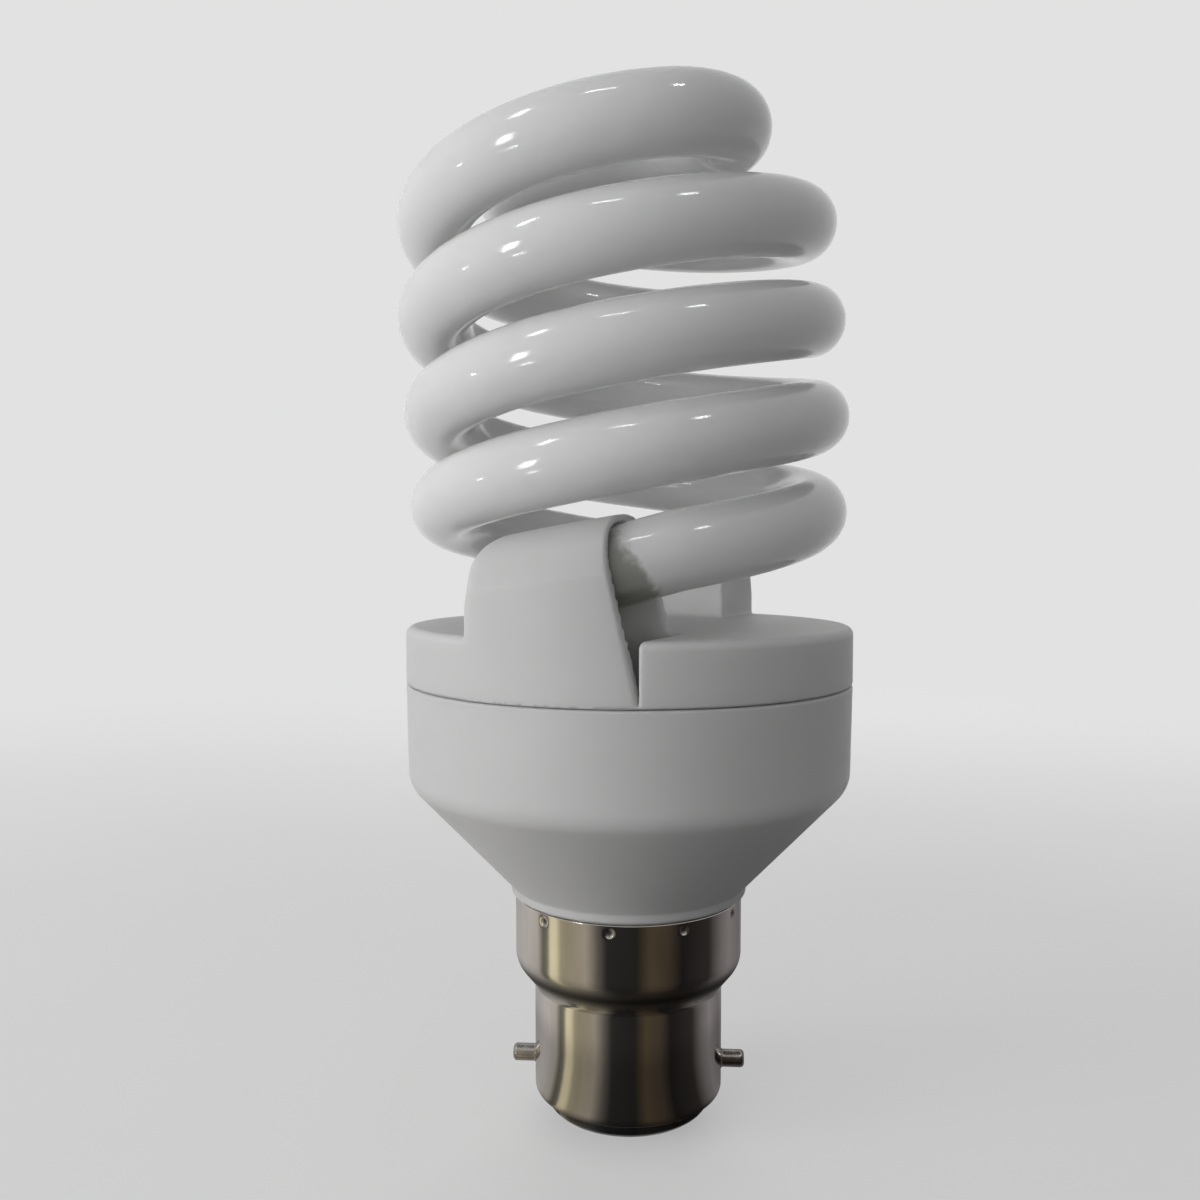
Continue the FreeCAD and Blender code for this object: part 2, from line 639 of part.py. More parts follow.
def blend(share):
    """Smooth step from 0 to 1."""
    share = min(max(share, 0.0), 1.0)
    return share * share * (3 - 2 * share)


def strand_middle(angle, half_turn):
    """Middle of the tube at a strand angle in degrees.

    The strand climbs at a constant pitch on the spiral's radius. Its foot moves
    in to the hood and falls to its seat. Its top narrows, turns inwards on a half
    circle to the axis, and its rise ends there. Above its first turn the spiral leans.
    """
    size = sizes_now

    def share(first, last):
        return (angle - size[first]) / (size[last] - size[first])

    foot = blend(share("foot_start_angle", "foot_done_angle"))
    radius = size["spiral_radius"] + (size["foot_radius"] - size["spiral_radius"]) * foot
    radius -= size["top_inset"] * blend(share("inset_from_angle", "inset_to_angle"))
    radius *= math.cos(math.radians(max(0.0, angle - size["bridge_entry_angle"])))
    climb = size["strand_rise"] / 360
    height = size["spiral_base"] + climb * angle
    height -= size["foot_drop"] * blend(share("drop_start_angle", "drop_done_angle"))
    if angle > size["bridge_lift_angle"]:
        span = size["bridge_entry_angle"] + QUARTER_TURN - size["bridge_lift_angle"]
        part = (angle - size["bridge_lift_angle"]) / span
        start = size["spiral_base"] + climb * size["bridge_lift_angle"]
        height = start + (size["bridge_height"] - start) * blend(part)
        height += climb * span * part * (1 - part) ** 2
    turned_by = math.radians(angle + size["spiral_turn_angle"] + half_turn)
    across, deep = radius * math.cos(turned_by), radius * math.sin(turned_by)
    rise = max(0.0, height - size["spiral_base"])
    lean = math.hypot(rise, size["lean_blend"]) - size["lean_blend"]
    height += size["tilt_right_ratio"] * across * (1 - foot)
    across += size["lean_right_ratio"] * lean
    deep += size["lean_back_ratio"] * lean
    return FreeCAD.Vector(across, deep, height)


def tangent_arc(start, heading, end):
    """Arc from a point along a heading to a second point, and its last heading."""
    chord = end - start
    across = chord - heading * chord.dot(heading)
    if across.Length < 1e-6 * chord.Length:
        return Part.LineSegment(start, end), heading
    radius = chord.dot(chord) / (2 * across.Length)
    centre = start + across.normalize() * radius
    middle = centre + ((start - centre) + (end - centre)).normalize() * radius
    last = chord * (2 * chord.dot(heading) / chord.dot(chord)) - heading
    return Part.Arc(start, middle, end), last


def smooth_path(places, headings):
    """Join points with given headings by pairs of tangent arcs."""
    edges = []
    for start, end, first, last in zip(places, places[1:], headings, headings[1:]):
        step = end - start
        both = first + last
        bend = 2 * (1 - first.dot(last))
        reach = (math.sqrt(step.dot(both) ** 2 + bend * step.dot(step)) - step.dot(both)) / bend
        middle = (start + end + (first - last) * reach) * 0.5
        curve, heading = tangent_arc(start, first, middle)
        edges.append(curve.toShape())
        edges.append(tangent_arc(middle, heading, end)[0].toShape())
    return Part.Wire(edges)


def pipe(path, radius):
    """Round solid along a path of lines and arcs."""
    start = path.Edges[0]
    first = start.FirstParameter
    circle = Part.makeCircle(radius, start.valueAt(first), start.tangentAt(first))
    return path.makePipe(Part.Face(Part.Wire([circle])))


# A quarter turn and steps along a strand in degrees, and the distance below which points are one
QUARTER_TURN = 90.0
KNOT_STEP = 30.0
HEADING_STEP = 0.05
SAME_POINT = 1e-3


def tube_path():
    """Path of the whole tube: up one strand, over the bridge and down the other."""
    foot_end_angle, top = number("foot_end_angle"), number("bridge_entry_angle") + QUARTER_TURN
    count = math.ceil((top - foot_end_angle) / KNOT_STEP)
    angles = [foot_end_angle + (top - foot_end_angle) * index / count for index in range(count + 1)]
    places, headings = [], []
    for half_turn in (0.0, 180.0):
        for angle in angles:
            place = strand_middle(angle, half_turn)
            back = strand_middle(angle - HEADING_STEP, half_turn)
            heading = (place - back).normalize()
            if half_turn:
                places.insert(len(angles), place)
                headings.insert(len(angles), heading * -1)
            else:
                places.append(place)
                headings.append(heading)
    del places[len(angles)]
    del headings[len(angles)]
    return smooth_path(places, headings)


def make_tube():
    """Sealed glass tube, bent as a double spiral."""
    path = tube_path()
    tube = pipe(path, number("tube_radius"))
    ends = (path.Edges[0].firstVertex().Point, path.Edges[-1].lastVertex().Point)
    rims = [edge for edge in tube.Edges
            if min((edge.CenterOfMass - end).Length for end in ends) < SAME_POINT]
    tube = tube.makeFillet(number("foot_round"), rims)
    keep("discharge_tube", shaped("tube", tube))


def make_cement():
    """Cement under each foot of the tube, between the hood's walls."""
    beads = []
    clear = number("cement_clear")
    radius, half = number("foot_radius"), number("pocket_half") - clear
    start = number("foot_end_angle - hood_angle + spiral_turn_angle + cement_start_angle")
    sweep, depth = number("cement_span_angle"), number("cement_depth")
    pitch = number("strand_rise")
    for half_turn in (0, 180):
        section = Part.makePolygon([FreeCAD.Vector(radius + x * half, 0, z) for x, z in (
            (-1, 0), (-1, -depth), (1, -depth), (1, 0), (-1, 0))])
        ring = Part.makeCircle(number("tube_radius") + clear, FreeCAD.Vector(radius, 0, 0),
                               FreeCAD.Vector(0, 1, 0))
        face = Part.Face(section).cut(Part.Face(Part.Wire([ring])))
        spine = Part.Wire(Part.makeHelix(pitch, pitch * sweep / 360, radius).Edges)
        bead = spine.makePipeShell([face.Faces[0].OuterWire], True, True)
        beads.append(shaped(f"cement_bead_{half_turn}", bead))
        turn(beads[-1], f"hood_angle + {half_turn} + {start}")
        put(beads[-1], z=foot_height(start))
    keep("tube_cement", group("cement_pair", beads))


def make_foot_leads():
    """Leads from the sealed ends down to the wire posts, and those posts."""
    leads, posts = [], []
    end_angle = number("foot_end_angle")
    for half_turn in (0, 180):
        end = strand_middle(end_angle, half_turn)
        out = (end - strand_middle(end_angle + HEADING_STEP, half_turn)).normalize()
        across = FreeCAD.Vector(0, 0, 1).cross(out).normalize()
        for side in (-0.5, 0.5):
            start = end + across * (side * number("filament_lead_spread"))
            start += out * number("filament_lead_gap")
            leads.append(shaped(f"filament_lead_{len(leads)}", foot_lead(start, out)))
            post = block(f"wire_post_{len(posts)}", "post_side", "post_side", "post_height", z="board_top")
            place = lead_foot(start, out)
            post.setExpression("Placement.Base.x", f"{place.x} - {bind('post_side')} / 2")
            post.setExpression("Placement.Base.y", f"{place.y} - {bind('post_side')} / 2")
            posts.append(post)
    keep("filament_leads", group("filament_lead_set", leads))
    keep("wire_posts", group("wire_post_set", posts))


def lead_foot(start, out):
    """Place on a post where a lead ends."""
    flat = FreeCAD.Vector(out.x, out.y, 0).normalize()
    reach = number("filament_lead_run + filament_lead_bend")
    place = start + flat * reach
    return FreeCAD.Vector(place.x, place.y, number("board_top + post_height"))


def foot_lead(start, out):
    """Lead that leaves a sealed end, bends down and ends on its post."""
    foot = lead_foot(start, out)
    bend = number("filament_lead_bend")
    flat = FreeCAD.Vector(out.x, out.y, 0).normalize()
    turn_start = foot - flat * bend
    turn_start.z = start.z
    turn_end = FreeCAD.Vector(foot.x, foot.y, start.z - bend)
    curve, heading = tangent_arc(turn_start, flat, turn_end)
    path = Part.Wire([Part.makeLine(start, turn_start), curve.toShape(), Part.makeLine(turn_end, foot)])
    return pipe(path, number("filament_lead_radius"))


def make_board():
    """Circuit board and the parts that hang below it."""
    board = cylinder("board", "housing_inside - board_clear", "board_thickness", z="ledge_height")
    keep("circuit_board", board)
    make_can()
    make_choke()
    make_ring_core()
    make_transistors()
    make_filter_choke()
    diodes = [hung_cylinder(f"diode_{index}", "diode", "diode_x", f"({index} - 1.5) * diode_pitch")
              for index in range(4)]
    keep("rectifier_diodes", group("diode_row", diodes))
    films = [block(f"film_{side}", "film_width", "film_length", "film_height", "film_x",
                   f"film_y + {side} * film_pitch / 2", "ledge_height - film_height") for side in (-1, 1)]
    keep("film_capacitors", group("film_pair", films))
    resistors = []
    for index in range(3):
        place = f"((resistor_start_angle + {index} * resistor_step_angle) * 1 deg)"
        resistors.append(hung_cylinder(f"resistor_{index}", "resistor", f"resistor_place * cos{place}",
                                       f"resistor_place * sin{place}"))
    keep("resistors", group("resistor_set", resistors))
    keep("fuse_resistor", hung_cylinder("fuse", "fuse", "fuse_x", "fuse_y"))
    keep("trigger_diode", hung_cylinder("trigger", "trigger", "trigger_x", "trigger_y"))


def hung_cylinder(name, kind, x, y):
    """Upright round part under the board, of a kind that has radius and height."""
    return cylinder(name, f"{kind}_radius", f"{kind}_height", x, y, f"ledge_height - {kind}_height")


def make_can():
    """Electrolytic capacitor with a rolled groove near its foot."""
    corners = [
        ("0", "-can_height"),
        ("can_radius", "-can_height", "can_groove"),
        ("can_radius", "-4 * can_groove"),
        ("can_radius - can_groove", "-3 * can_groove"),
        ("can_radius", "-2 * can_groove"),
        ("can_radius", "0"),
        ("0", "0"),
    ]
    keep("electrolytic_capacitor", put(turned("can", corners), "can_x", z="ledge_height"))


def make_choke():
    """Lamp choke: a ferrite core with two windows, its bobbin and its winding."""
    low = "(ledge_height - choke_core_height)"
    window_height = "(choke_core_height - 2 * choke_leg)"
    window_width = "((choke_core_width - choke_middle_leg) / 2 - choke_leg)"
    place = f"(choke_middle_leg + {window_width}) / 2"
    core = block("choke_block", "choke_core_depth", "choke_core_width", "choke_core_height", "choke_x", z=low)
    windows = [block(f"choke_window_{side}", "2 * choke_core_depth", window_width, window_height, "choke_x",
                     f"{side} * {place}", f"{low} + choke_leg") for side in (-1, 1)]
    keep("choke_core", cut("choke_core_cut", core, combine("Part::MultiFuse", "choke_windows", windows)))
    hole_x, hole_y = "(choke_core_depth + 2 * bobbin_clear)", "(choke_middle_leg + 2 * bobbin_clear)"
    tube_x, tube_y = f"({hole_x} + 2 * bobbin_wall)", f"({hole_y} + 2 * bobbin_wall)"
    flange_x = f"({tube_x} + 2 * winding_depth)"
    flange_y = f"(choke_middle_leg + 2 * {window_width} - 2 * bobbin_clear)"
    foot, height = f"({low} + choke_leg + bobbin_clear)", f"({window_height} - 2 * bobbin_clear)"
    shapes = [block("bobbin_tube", tube_x, tube_y, height, "choke_x", z=foot)]
    for word, place in (("low", foot), ("high", f"{foot} + {height} - bobbin_wall")):
        shapes.append(block(f"bobbin_flange_{word}", flange_x, flange_y, "bobbin_wall", "choke_x", z=place))
    hole = block("bobbin_hole", hole_x, hole_y, f"2 * {height}", "choke_x", z=low)
    keep("choke_bobbin", cut("bobbin_cut", combine("Part::MultiFuse", "bobbin_joined", shapes), hole))
    inner = block("winding_hole", f"{tube_x} + 2 * winding_clear", f"{tube_y} + 2 * winding_clear",
                  f"2 * {height}", "choke_x", z=low)
    outer = block("winding_block", f"{flange_x} - 2 * winding_clear", f"{flange_y} - 2 * winding_clear",
                  f"{height} - 2 * bobbin_wall - 2 * winding_clear", "choke_x",
                  z=f"{foot} + bobbin_wall + winding_clear")
    keep("choke_winding", cut("winding_cut", outer, inner))


def make_ring_core():
    """Ring core of the drive transformer with its three small coils."""
    low = "(ledge_height - ring_coil_wire - winding_clear - ring_height)"
    ring = cylinder("ring_blank", "ring_radius", "ring_height", "ring_x", "ring_y", low)
    bore = cylinder("ring_bore_tool", "ring_hole_radius", "3 * ring_height", "ring_x", "ring_y",
                    f"{low} - ring_height")
    keep("ring_core", cut("ring_cut", ring, bore))
    coils = []
    inside = "(sqrt(ring_hole_radius ^ 2 - ring_coil_width ^ 2 / 4) - winding_clear)"
    wall = f"(ring_radius + winding_clear - {inside})"
    for index in range(3):
        angle = f"(({index} * 120 + 90) * 1 deg)"
        solids = []
        for word, more in (("outer", "2 * ring_coil_wire"), ("inner", "0")):
            depth = "ring_coil_width" if more != "0" else "3 * ring_coil_width"
            part = document.addObject("Part::Box", f"ring_coil_{word}_{index}")
            bind_sizes(part, Length=f"{wall} + {more}", Width=depth,
                       Height=f"ring_height + 2 * winding_clear + {more}")
            turn(part, f"{index} * 120 + 90")
            back, side = f"({inside} - ({more}) / 2)", f"(({depth}) / 2)"
            put(part, f"ring_x + {back} * cos{angle} + {side} * sin{angle}",
                f"ring_y + {back} * sin{angle} - {side} * cos{angle}",
                f"{low} - winding_clear - ({more}) / 2")
            solids.append(part)
        coils.append(cut(f"ring_coil_{index}", solids[0], solids[1]))
    keep("ring_core_coils", group("ring_coil_set", coils))


def make_transistors():
    """Two flat transistors that hang by their legs."""
    bodies = []
    for side in (-1, 1):
        x = f"{side} * transistor_spread / 2"
        solids = [block(f"transistor_body_{side}", "transistor_width", "transistor_depth",
                        "transistor_height", x, "transistor_y",
                        "ledge_height - transistor_leg - transistor_height")]
        for leg in (-1, 0, 1):
            solids.append(block(f"transistor_leg_{side}_{leg}", "transistor_leg_side", "transistor_leg_side",
                                "transistor_leg", f"{x} + {leg} * transistor_leg_pitch", "transistor_y",
                                "ledge_height - transistor_leg"))
        bodies.append(combine("Part::MultiFuse", f"transistor_{side}", solids))
    keep("transistors", group("transistor_pair", bodies))


def make_filter_choke():
    """Mains filter choke: a flanged core with its winding."""
    core = turned("filter_core_body", [
        ("0", "-filter_height"),
        ("filter_radius", "-filter_height"),
        ("filter_radius", "-filter_height + filter_flange"),
        ("filter_stem", "-filter_height + filter_flange"),
        ("filter_stem", "-filter_flange"),
        ("filter_radius", "-filter_flange"),
        ("filter_radius", "0"),
        ("0", "0"),
    ])
    keep("filter_choke_core", put(core, "filter_x", "filter_y", "ledge_height"))
    coil = turned("filter_winding_body", [
        ("filter_stem + winding_clear", "-filter_height + filter_flange + winding_clear"),
        ("filter_radius - winding_clear", "-filter_height + filter_flange + winding_clear"),
        ("filter_radius - winding_clear", "-filter_flange - winding_clear"),
        ("filter_stem + winding_clear", "-filter_flange - winding_clear"),
    ])
    keep("filter_choke_winding", put(coil, "filter_x", "filter_y", "ledge_height"))


def write_pieces():
    """Check every object and every piece, then write one file for each piece."""
    for item in document.Objects:
        if "Invalid" in item.State or "Error" in item.State:
            raise RuntimeError(f"{item.Name} failed: {item.State}")
    for label, feature in pieces.items():
        shape = feature.Shape
        if shape.isNull() or not shape.isValid() or not shape.Solids:
            raise RuntimeError(f"{label} is not a sound solid")
    os.makedirs("parts", exist_ok=True)
    for label, feature in pieces.items():
        feature.Shape.exportStep(f"parts/{label}.step")
        print(f"{label}: {len(feature.Shape.Solids)} solids, {feature.Shape.Volume:.1f} mm3")


fill_sheet()
make_cap()
make_housing()
make_cover()
make_tube()
make_cement()
make_foot_leads()
make_board()
document.recompute()
write_pieces()
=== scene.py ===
"""Looks of a spiral energy saving lamp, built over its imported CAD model.

Lengths in the classes are millimetres in the CAD frame. The origin is where the lamp's axis
crosses the axis of its two bayonet pins, +Z runs up the axis to the spiral, and +X along one
pin. Meshes are written in metres.
"""
import logging
import math
from collections.abc import Callable, Sequence
from dataclasses import dataclass, field
from enum import Enum
from itertools import combinations, product

import bpy
import numpy as np
from mathutils import Matrix, Vector


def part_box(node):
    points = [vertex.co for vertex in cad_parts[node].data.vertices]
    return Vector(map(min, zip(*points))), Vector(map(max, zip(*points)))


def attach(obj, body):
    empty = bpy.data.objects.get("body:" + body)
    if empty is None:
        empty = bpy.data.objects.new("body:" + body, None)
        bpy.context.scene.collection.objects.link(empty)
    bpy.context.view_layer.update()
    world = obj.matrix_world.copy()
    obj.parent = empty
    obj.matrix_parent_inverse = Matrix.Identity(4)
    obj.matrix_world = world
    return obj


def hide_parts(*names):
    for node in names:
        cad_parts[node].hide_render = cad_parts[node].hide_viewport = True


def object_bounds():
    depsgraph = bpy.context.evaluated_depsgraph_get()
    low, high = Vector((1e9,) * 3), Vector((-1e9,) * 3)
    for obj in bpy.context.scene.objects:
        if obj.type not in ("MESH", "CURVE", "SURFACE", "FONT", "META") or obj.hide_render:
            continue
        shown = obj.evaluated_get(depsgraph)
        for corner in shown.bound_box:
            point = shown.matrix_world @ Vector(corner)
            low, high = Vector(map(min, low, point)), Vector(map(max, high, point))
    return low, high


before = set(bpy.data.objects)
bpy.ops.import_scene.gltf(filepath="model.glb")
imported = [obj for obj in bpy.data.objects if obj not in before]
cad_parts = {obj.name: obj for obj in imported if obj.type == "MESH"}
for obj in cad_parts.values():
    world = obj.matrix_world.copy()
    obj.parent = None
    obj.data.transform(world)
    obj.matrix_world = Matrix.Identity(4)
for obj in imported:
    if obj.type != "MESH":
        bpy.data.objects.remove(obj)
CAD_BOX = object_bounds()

MM = 0.001
GROUND = CAD_BOX[0].z / MM
BODY = "root"
# The second hood and the second strand are the first ones turned by half a turn.
HALF_TURNS = (0.0, 180.0)
# Rise of a strand in one turn, and distance of the tube's feet from the axis.
STRAND_RISE, FOOT_RADIUS = 21.1, 20.02
# An arc of an outline has this many points, and one more for each step in degrees.
ARC_POINTS, ARC_STEP = 4, 9.0
# Netted points are moved in rounds. Probe and longest move are shares of a cell.
NET_ROUNDS, NET_PROBE, NET_MOVE, NET_FLAT = 5, 0.05, 0.4, 0.2
Array = np.ndarray
Colour = tuple[float, float, float]
Place = tuple[float, float, float]
Socket = bpy.types.NodeSocket
log = logging.getLogger("lamp")


class Slot(Enum):
    """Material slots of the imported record."""

    CAP_METAL = "cap_metal"
    PIN_METAL = "pin_metal"
    BLACK_GLASS = "black_glass"
    SOLDER = "solder"
    TINNED_WIRE = "tinned_wire"
    WHITE_PLASTIC = "white_plastic"
    COATED_GLASS = "coated_glass"
    CEMENT = "cement"
    BOARD = "board"
    CAPACITOR_SLEEVE = "capacitor_sleeve"
    FERRITE = "ferrite"
    BOBBIN_PLASTIC = "bobbin_plastic"
    COPPER_WIRE = "copper_wire"
    BLACK_RESIN = "black_resin"
    FILM_RESIN = "film_resin"
    RESISTOR_LACQUER = "resistor_lacquer"
    FUSE_LACQUER = "fuse_lacquer"
    DIODE_GLASS = "diode_glass"


def cad_box(node: str) -> tuple[Array, Array]:
    """Corners of a CAD node.

    Args:
        node: name of the node.

    Returns:
        Its lowest and its highest corner in millimetres.
    """
    low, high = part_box(node)
    return np.array(low) / MM, np.array(high) / MM


def smooth_step(share: Array) -> Array:
    """Smooth step s * s * (3 - 2 s) of a share held between 0 and 1.

    Args:
        share: values, 0 before the step and 1 after it.

    Returns:
        The eased values.
    """
    held = np.clip(share, 0.0, 1.0)
    return held * held * (3 - 2 * held)


def meet(first: Array, second: Array, rounding: float) -> Array:
    """Inside of two shapes at once, with a round outer edge.

    Within the rounding of both faces the distance is that to a quarter circle, and
    elsewhere it is the larger one.

    Args:
        first: signed distances to the first shape, negative inside.
        second: signed distances to the second shape.
        rounding: radius of the edge where the two faces meet.

    Returns:
        Signed distances to the common part.
    """
    corner = np.hypot(np.maximum(rounding + first, 0), np.maximum(rounding + second, 0))
    return np.minimum(-rounding, np.maximum(first, second)) + corner


def join(first: Array, second: Array, fillet: float) -> Array:
    """Two shapes as one with a hollow fillet: meet() of their outsides, turned round.

    Args:
        first: signed distances to the first shape, negative inside.
        second: signed distances to the second shape.
        fillet: radius of the hollow edge.

    Returns:
        Signed distances to the joined shape.
    """
    return -meet(-first, -second, fillet)


@dataclass
class Surface:
    """Points in millimetres with the faces that join them, and what is known at each point."""

    points: Array
    quads: Array
    triangles: Array = field(default_factory=lambda: np.zeros((0, 3), int))
    normals: Array | None = None
    marks: dict[str, Array] = field(default_factory=dict)

    def paired(self) -> "Surface":
        """The surface and a second one, which is the first turned by half a turn about Z.

        Returns:
            Both as one, without normals and marks.
        """
        start = len(self.points)
        return Surface(
            np.vstack((self.points, self.points * (-1, -1, 1))),
            np.vstack((self.quads, self.quads + start)),
            np.vstack((self.triangles, self.triangles + start)),
        )

    def as_object(self, name: str) -> bpy.types.Object:
        """Write the surface to a smooth mesh at the origin.

        Args:
            name: name of the object and its mesh.

        Returns:
            The linked object.
        """
        mesh = bpy.data.meshes.new(name)
        faces = self.quads.tolist() + self.triangles.tolist()
        mesh.from_pydata((self.points * MM).tolist(), [], faces, shade_flat=False)
        for mark, values in self.marks.items():
            layer = mesh.attributes.new(mark, "FLOAT", "POINT")
            layer.data.foreach_set("value", values.astype(np.float32))
        if self.normals is not None:
            mesh.normals_split_custom_set_from_vertices(self.normals.tolist())
        made = bpy.data.objects.new(name, mesh)
        bpy.context.scene.collection.objects.link(made)
        return made


def grid_quads(rows: int, columns: int, closed: bool) -> Array:
    """Quads of a grid whose last column joins its first.

    Args:
        rows: rings of points, each a row of the grid.
        columns: points in a ring.
        closed: whether the last ring joins the first.

    Returns:
        Four point numbers for each quad.
    """
    row, column = np.meshgrid(np.arange(rows - (not closed)), np.arange(columns), indexing="ij")
    here, after = row * columns, (row + 1) % rows * columns
    beside = (column + 1) % columns
    corners = (here + column, here + beside, after + beside, after + column)
    return np.stack(corners, axis=-1).reshape(-1, 4)


def capped(points: Array, columns: int, poles: Sequence[Sequence[float]]) -> Surface:
    """Close a grid of rings at both ends with triangles to a pole.

    Args:
        points: points of the grid, ring by ring.
        columns: points in a ring.
        poles: the point before the first ring and the one after the last.

    Returns:
        The closed surface.
    """
    count, here = len(points), np.arange(columns)
    beside, last = (here + 1) % columns, len(points) - columns
    fans = np.vstack((
        np.stack((beside, here, np.full(columns, count)), axis=-1),
        np.stack((last + here, last + beside, np.full(columns, count + 1)), axis=-1),
    ))
    return Surface(np.vstack((points, poles)), grid_quads(count // columns, columns, False), fans)


def rounded_outline(corners: Sequence[Place], closed: bool, step: float,
                    fine: tuple[float, float] | None = None) -> Array:
    """Outline whose corners are arcs and whose straight runs are divided.

    The arc of a corner touches both its sides: its centre lies on the bisector at
    radius / sin(half the angle), and it starts radius / tan(half the angle) before the corner.

    Args:
        corners: distance from the axis, height and radius of each corner.
        closed: whether the last corner is joined to the first.
        step: longest straight run between two points.
        fine: a height, and the longest run where the outline rises above it.

    Returns:
        Points of the outline, as distance and height.
    """
    places = np.array([corner[:2] for corner in corners], float)
    pieces: list[Array] = []
    for index, (place, corner) in enumerate(zip(places, corners)):
        inner = closed or 0 < index < len(places) - 1
        if not inner or corner[2] <= 0:
            pieces.append(place[None])
            continue
        back = places[index - 1] - place
        ahead = places[(index + 1) % len(places)] - place
        back, ahead = back / np.linalg.norm(back), ahead / np.linalg.norm(ahead)
        half = 0.5 * math.acos(float(np.clip(back @ ahead, -1, 1)))
        middle = back + ahead
        centre = place + middle / np.linalg.norm(middle) * corner[2] / math.sin(half)
        start = place + back * corner[2] / math.tan(half) - centre
        sweep = math.pi - 2 * half
        sense = -np.sign(back[0] * ahead[1] - back[1] * ahead[0])
        turn = sense * sweep * np.linspace(0, 1, ARC_POINTS + round(math.degrees(sweep) / ARC_STEP))
        across = np.array((-start[1], start[0]))
        pieces.append(centre + np.outer(np.cos(turn), start) + np.outer(np.sin(turn), across))
    ring = pieces + [pieces[0]] if closed else pieces
    runs: list[Array] = []
    for piece, following in zip(ring, ring[1:]):
        run = following[0] - piece[-1]
        rises = fine is not None and following[0][1] > piece[-1][1] > fine[0]
        count = math.ceil(float(np.linalg.norm(run)) / (fine[1] if rises else step))
        shares = np.linspace(0, 1, max(count, 1) + 1)[1:-1, None]
        runs += [piece, piece[-1] + run * shares]
    return np.vstack(runs if closed else runs + [ring[-1]])


def swung(outline: Array, columns: int, closed: bool = False) -> Surface:
    """Swing an outline about Z: (r cos a, r sin a, z) for its point (r, z) and an angle a.

    Args:
        outline: distance and height of each point, anticlockwise, so that faces point outwards.
        columns: points around the axis.
        closed: whether the outline is a ring.

    Returns:
        The swung surface, without poles.
    """
    angle = np.linspace(0, 2 * np.pi, columns, endpoint=False)
    points = np.stack((
        np.outer(outline[:, 0], np.cos(angle)),
        np.outer(outline[:, 0], np.sin(angle)),
        np.repeat(outline[:, 1:], columns, axis=1),
    ), axis=-1).reshape(-1, 3)
    return Surface(points, grid_quads(len(outline), columns, closed))


def lathe(outline: Array, columns: int) -> Surface:
    """Turn an outline that starts and ends on the Z axis into a closed surface.

    Args:
        outline: distance and height of each point; its ends become poles.
        columns: points around the axis.

    Returns:
        The turned surface.
    """
    poles = np.stack((np.zeros(2), np.zeros(2), outline[[0, -1], 1]), axis=-1)
    return capped(swung(outline[1:-1], columns).points, columns, poles)


def netted(distance: Callable[[Array], Array], low: Array, high: Array, cell: float) -> Surface:
    """Skin of a solid that is given by its signed distance.

    Each cell of a grid that the skin passes through gets one point, at the mean of the places
    where the distance changes sign on the cell's edges. Four cells around such an edge of the
    grid share a quad. The points are then moved along the slope of the distance onto the skin.

    Args:
        distance: signed distance at points, negative inside.
        low: lowest corner of the grid.
        high: highest corner of the grid.
        cell: side of a cell.

    Returns:
        The skin with its normals.
    """
    axes = [np.arange(start, end + cell, cell) for start, end in zip(low, high)]
    lattice = np.stack(np.meshgrid(*axes, indexing="ij"), axis=-1)
    values = distance(lattice.reshape(-1, 3)).reshape(lattice.shape[:3])
    inside, room = values < 0, np.array(values.shape) - 1
    steps = np.array(list(product((0, 1), repeat=3)))
    filled = sum(inside[tuple(slice(a, a + size) for a, size in zip(step, room))].astype(np.int8)
                 for step in steps)
    cells = np.argwhere((filled > 0) & (filled < len(steps)))
    number = np.full(room, -1)
    number[tuple(cells.T)] = np.arange(len(cells))
    at_corner = values[tuple((cells[:, None] + steps).transpose(2, 0, 1))]
    total, crossed = np.zeros((len(cells), 3)), np.zeros((len(cells), 1))
    for first, second in combinations(range(len(steps)), 2):
        if np.abs(steps[first] - steps[second]).sum() > 1:
            continue
        start, end = at_corner[:, first], at_corner[:, second]
        changes = ((start < 0) != (end < 0))[:, None]
        share = (start / np.where(start == end, 1, start - end))[:, None]
        total += np.where(changes, steps[first] + (steps[second] - steps[first]) * share, 0)
        crossed += changes
    points = np.array(low) + (cells + total / crossed) * cell
    quads = []
    for axis in range(3):
        beside, above = (axis + 1) % 3, (axis + 2) % 3
        ahead = np.moveaxis(inside, axis, 0)
        edges = np.argwhere(np.moveaxis(ahead[:-1] != ahead[1:], 0, axis))
        keep = (edges[:, beside] > 0) & (edges[:, above] > 0)
        keep &= (edges[:, beside] < room[beside]) & (edges[:, above] < room[above])
        edges = edges[keep]
        around = np.zeros((4, 3), int)
        around[[0, 3], beside] = -1
        around[[0, 1], above] = -1
        quad = number[tuple((edges[:, None] + around).transpose(2, 0, 1))]
        outwards = inside[tuple(edges.T)]
        quads.append(np.where(outwards[:, None], quad, quad[:, ::-1]))
    probe, reach = NET_PROBE * cell, NET_MOVE * cell
    slope = np.zeros_like(points)
    for _ in range(NET_ROUNDS):
        here = distance(points)
        for axis in range(3):
            shift = np.eye(3)[axis] * probe
            slope[:, axis] = (distance(points + shift) - distance(points - shift)) / (2 * probe)
        size = np.maximum((slope * slope).sum(axis=1), NET_FLAT)
        points = points - slope * np.clip(here / size, -reach, reach)[:, None]
    normals = slope / np.maximum(np.linalg.norm(slope, axis=1), 1e-6)[:, None]
    return Surface(points, np.vstack(quads), normals=normals)


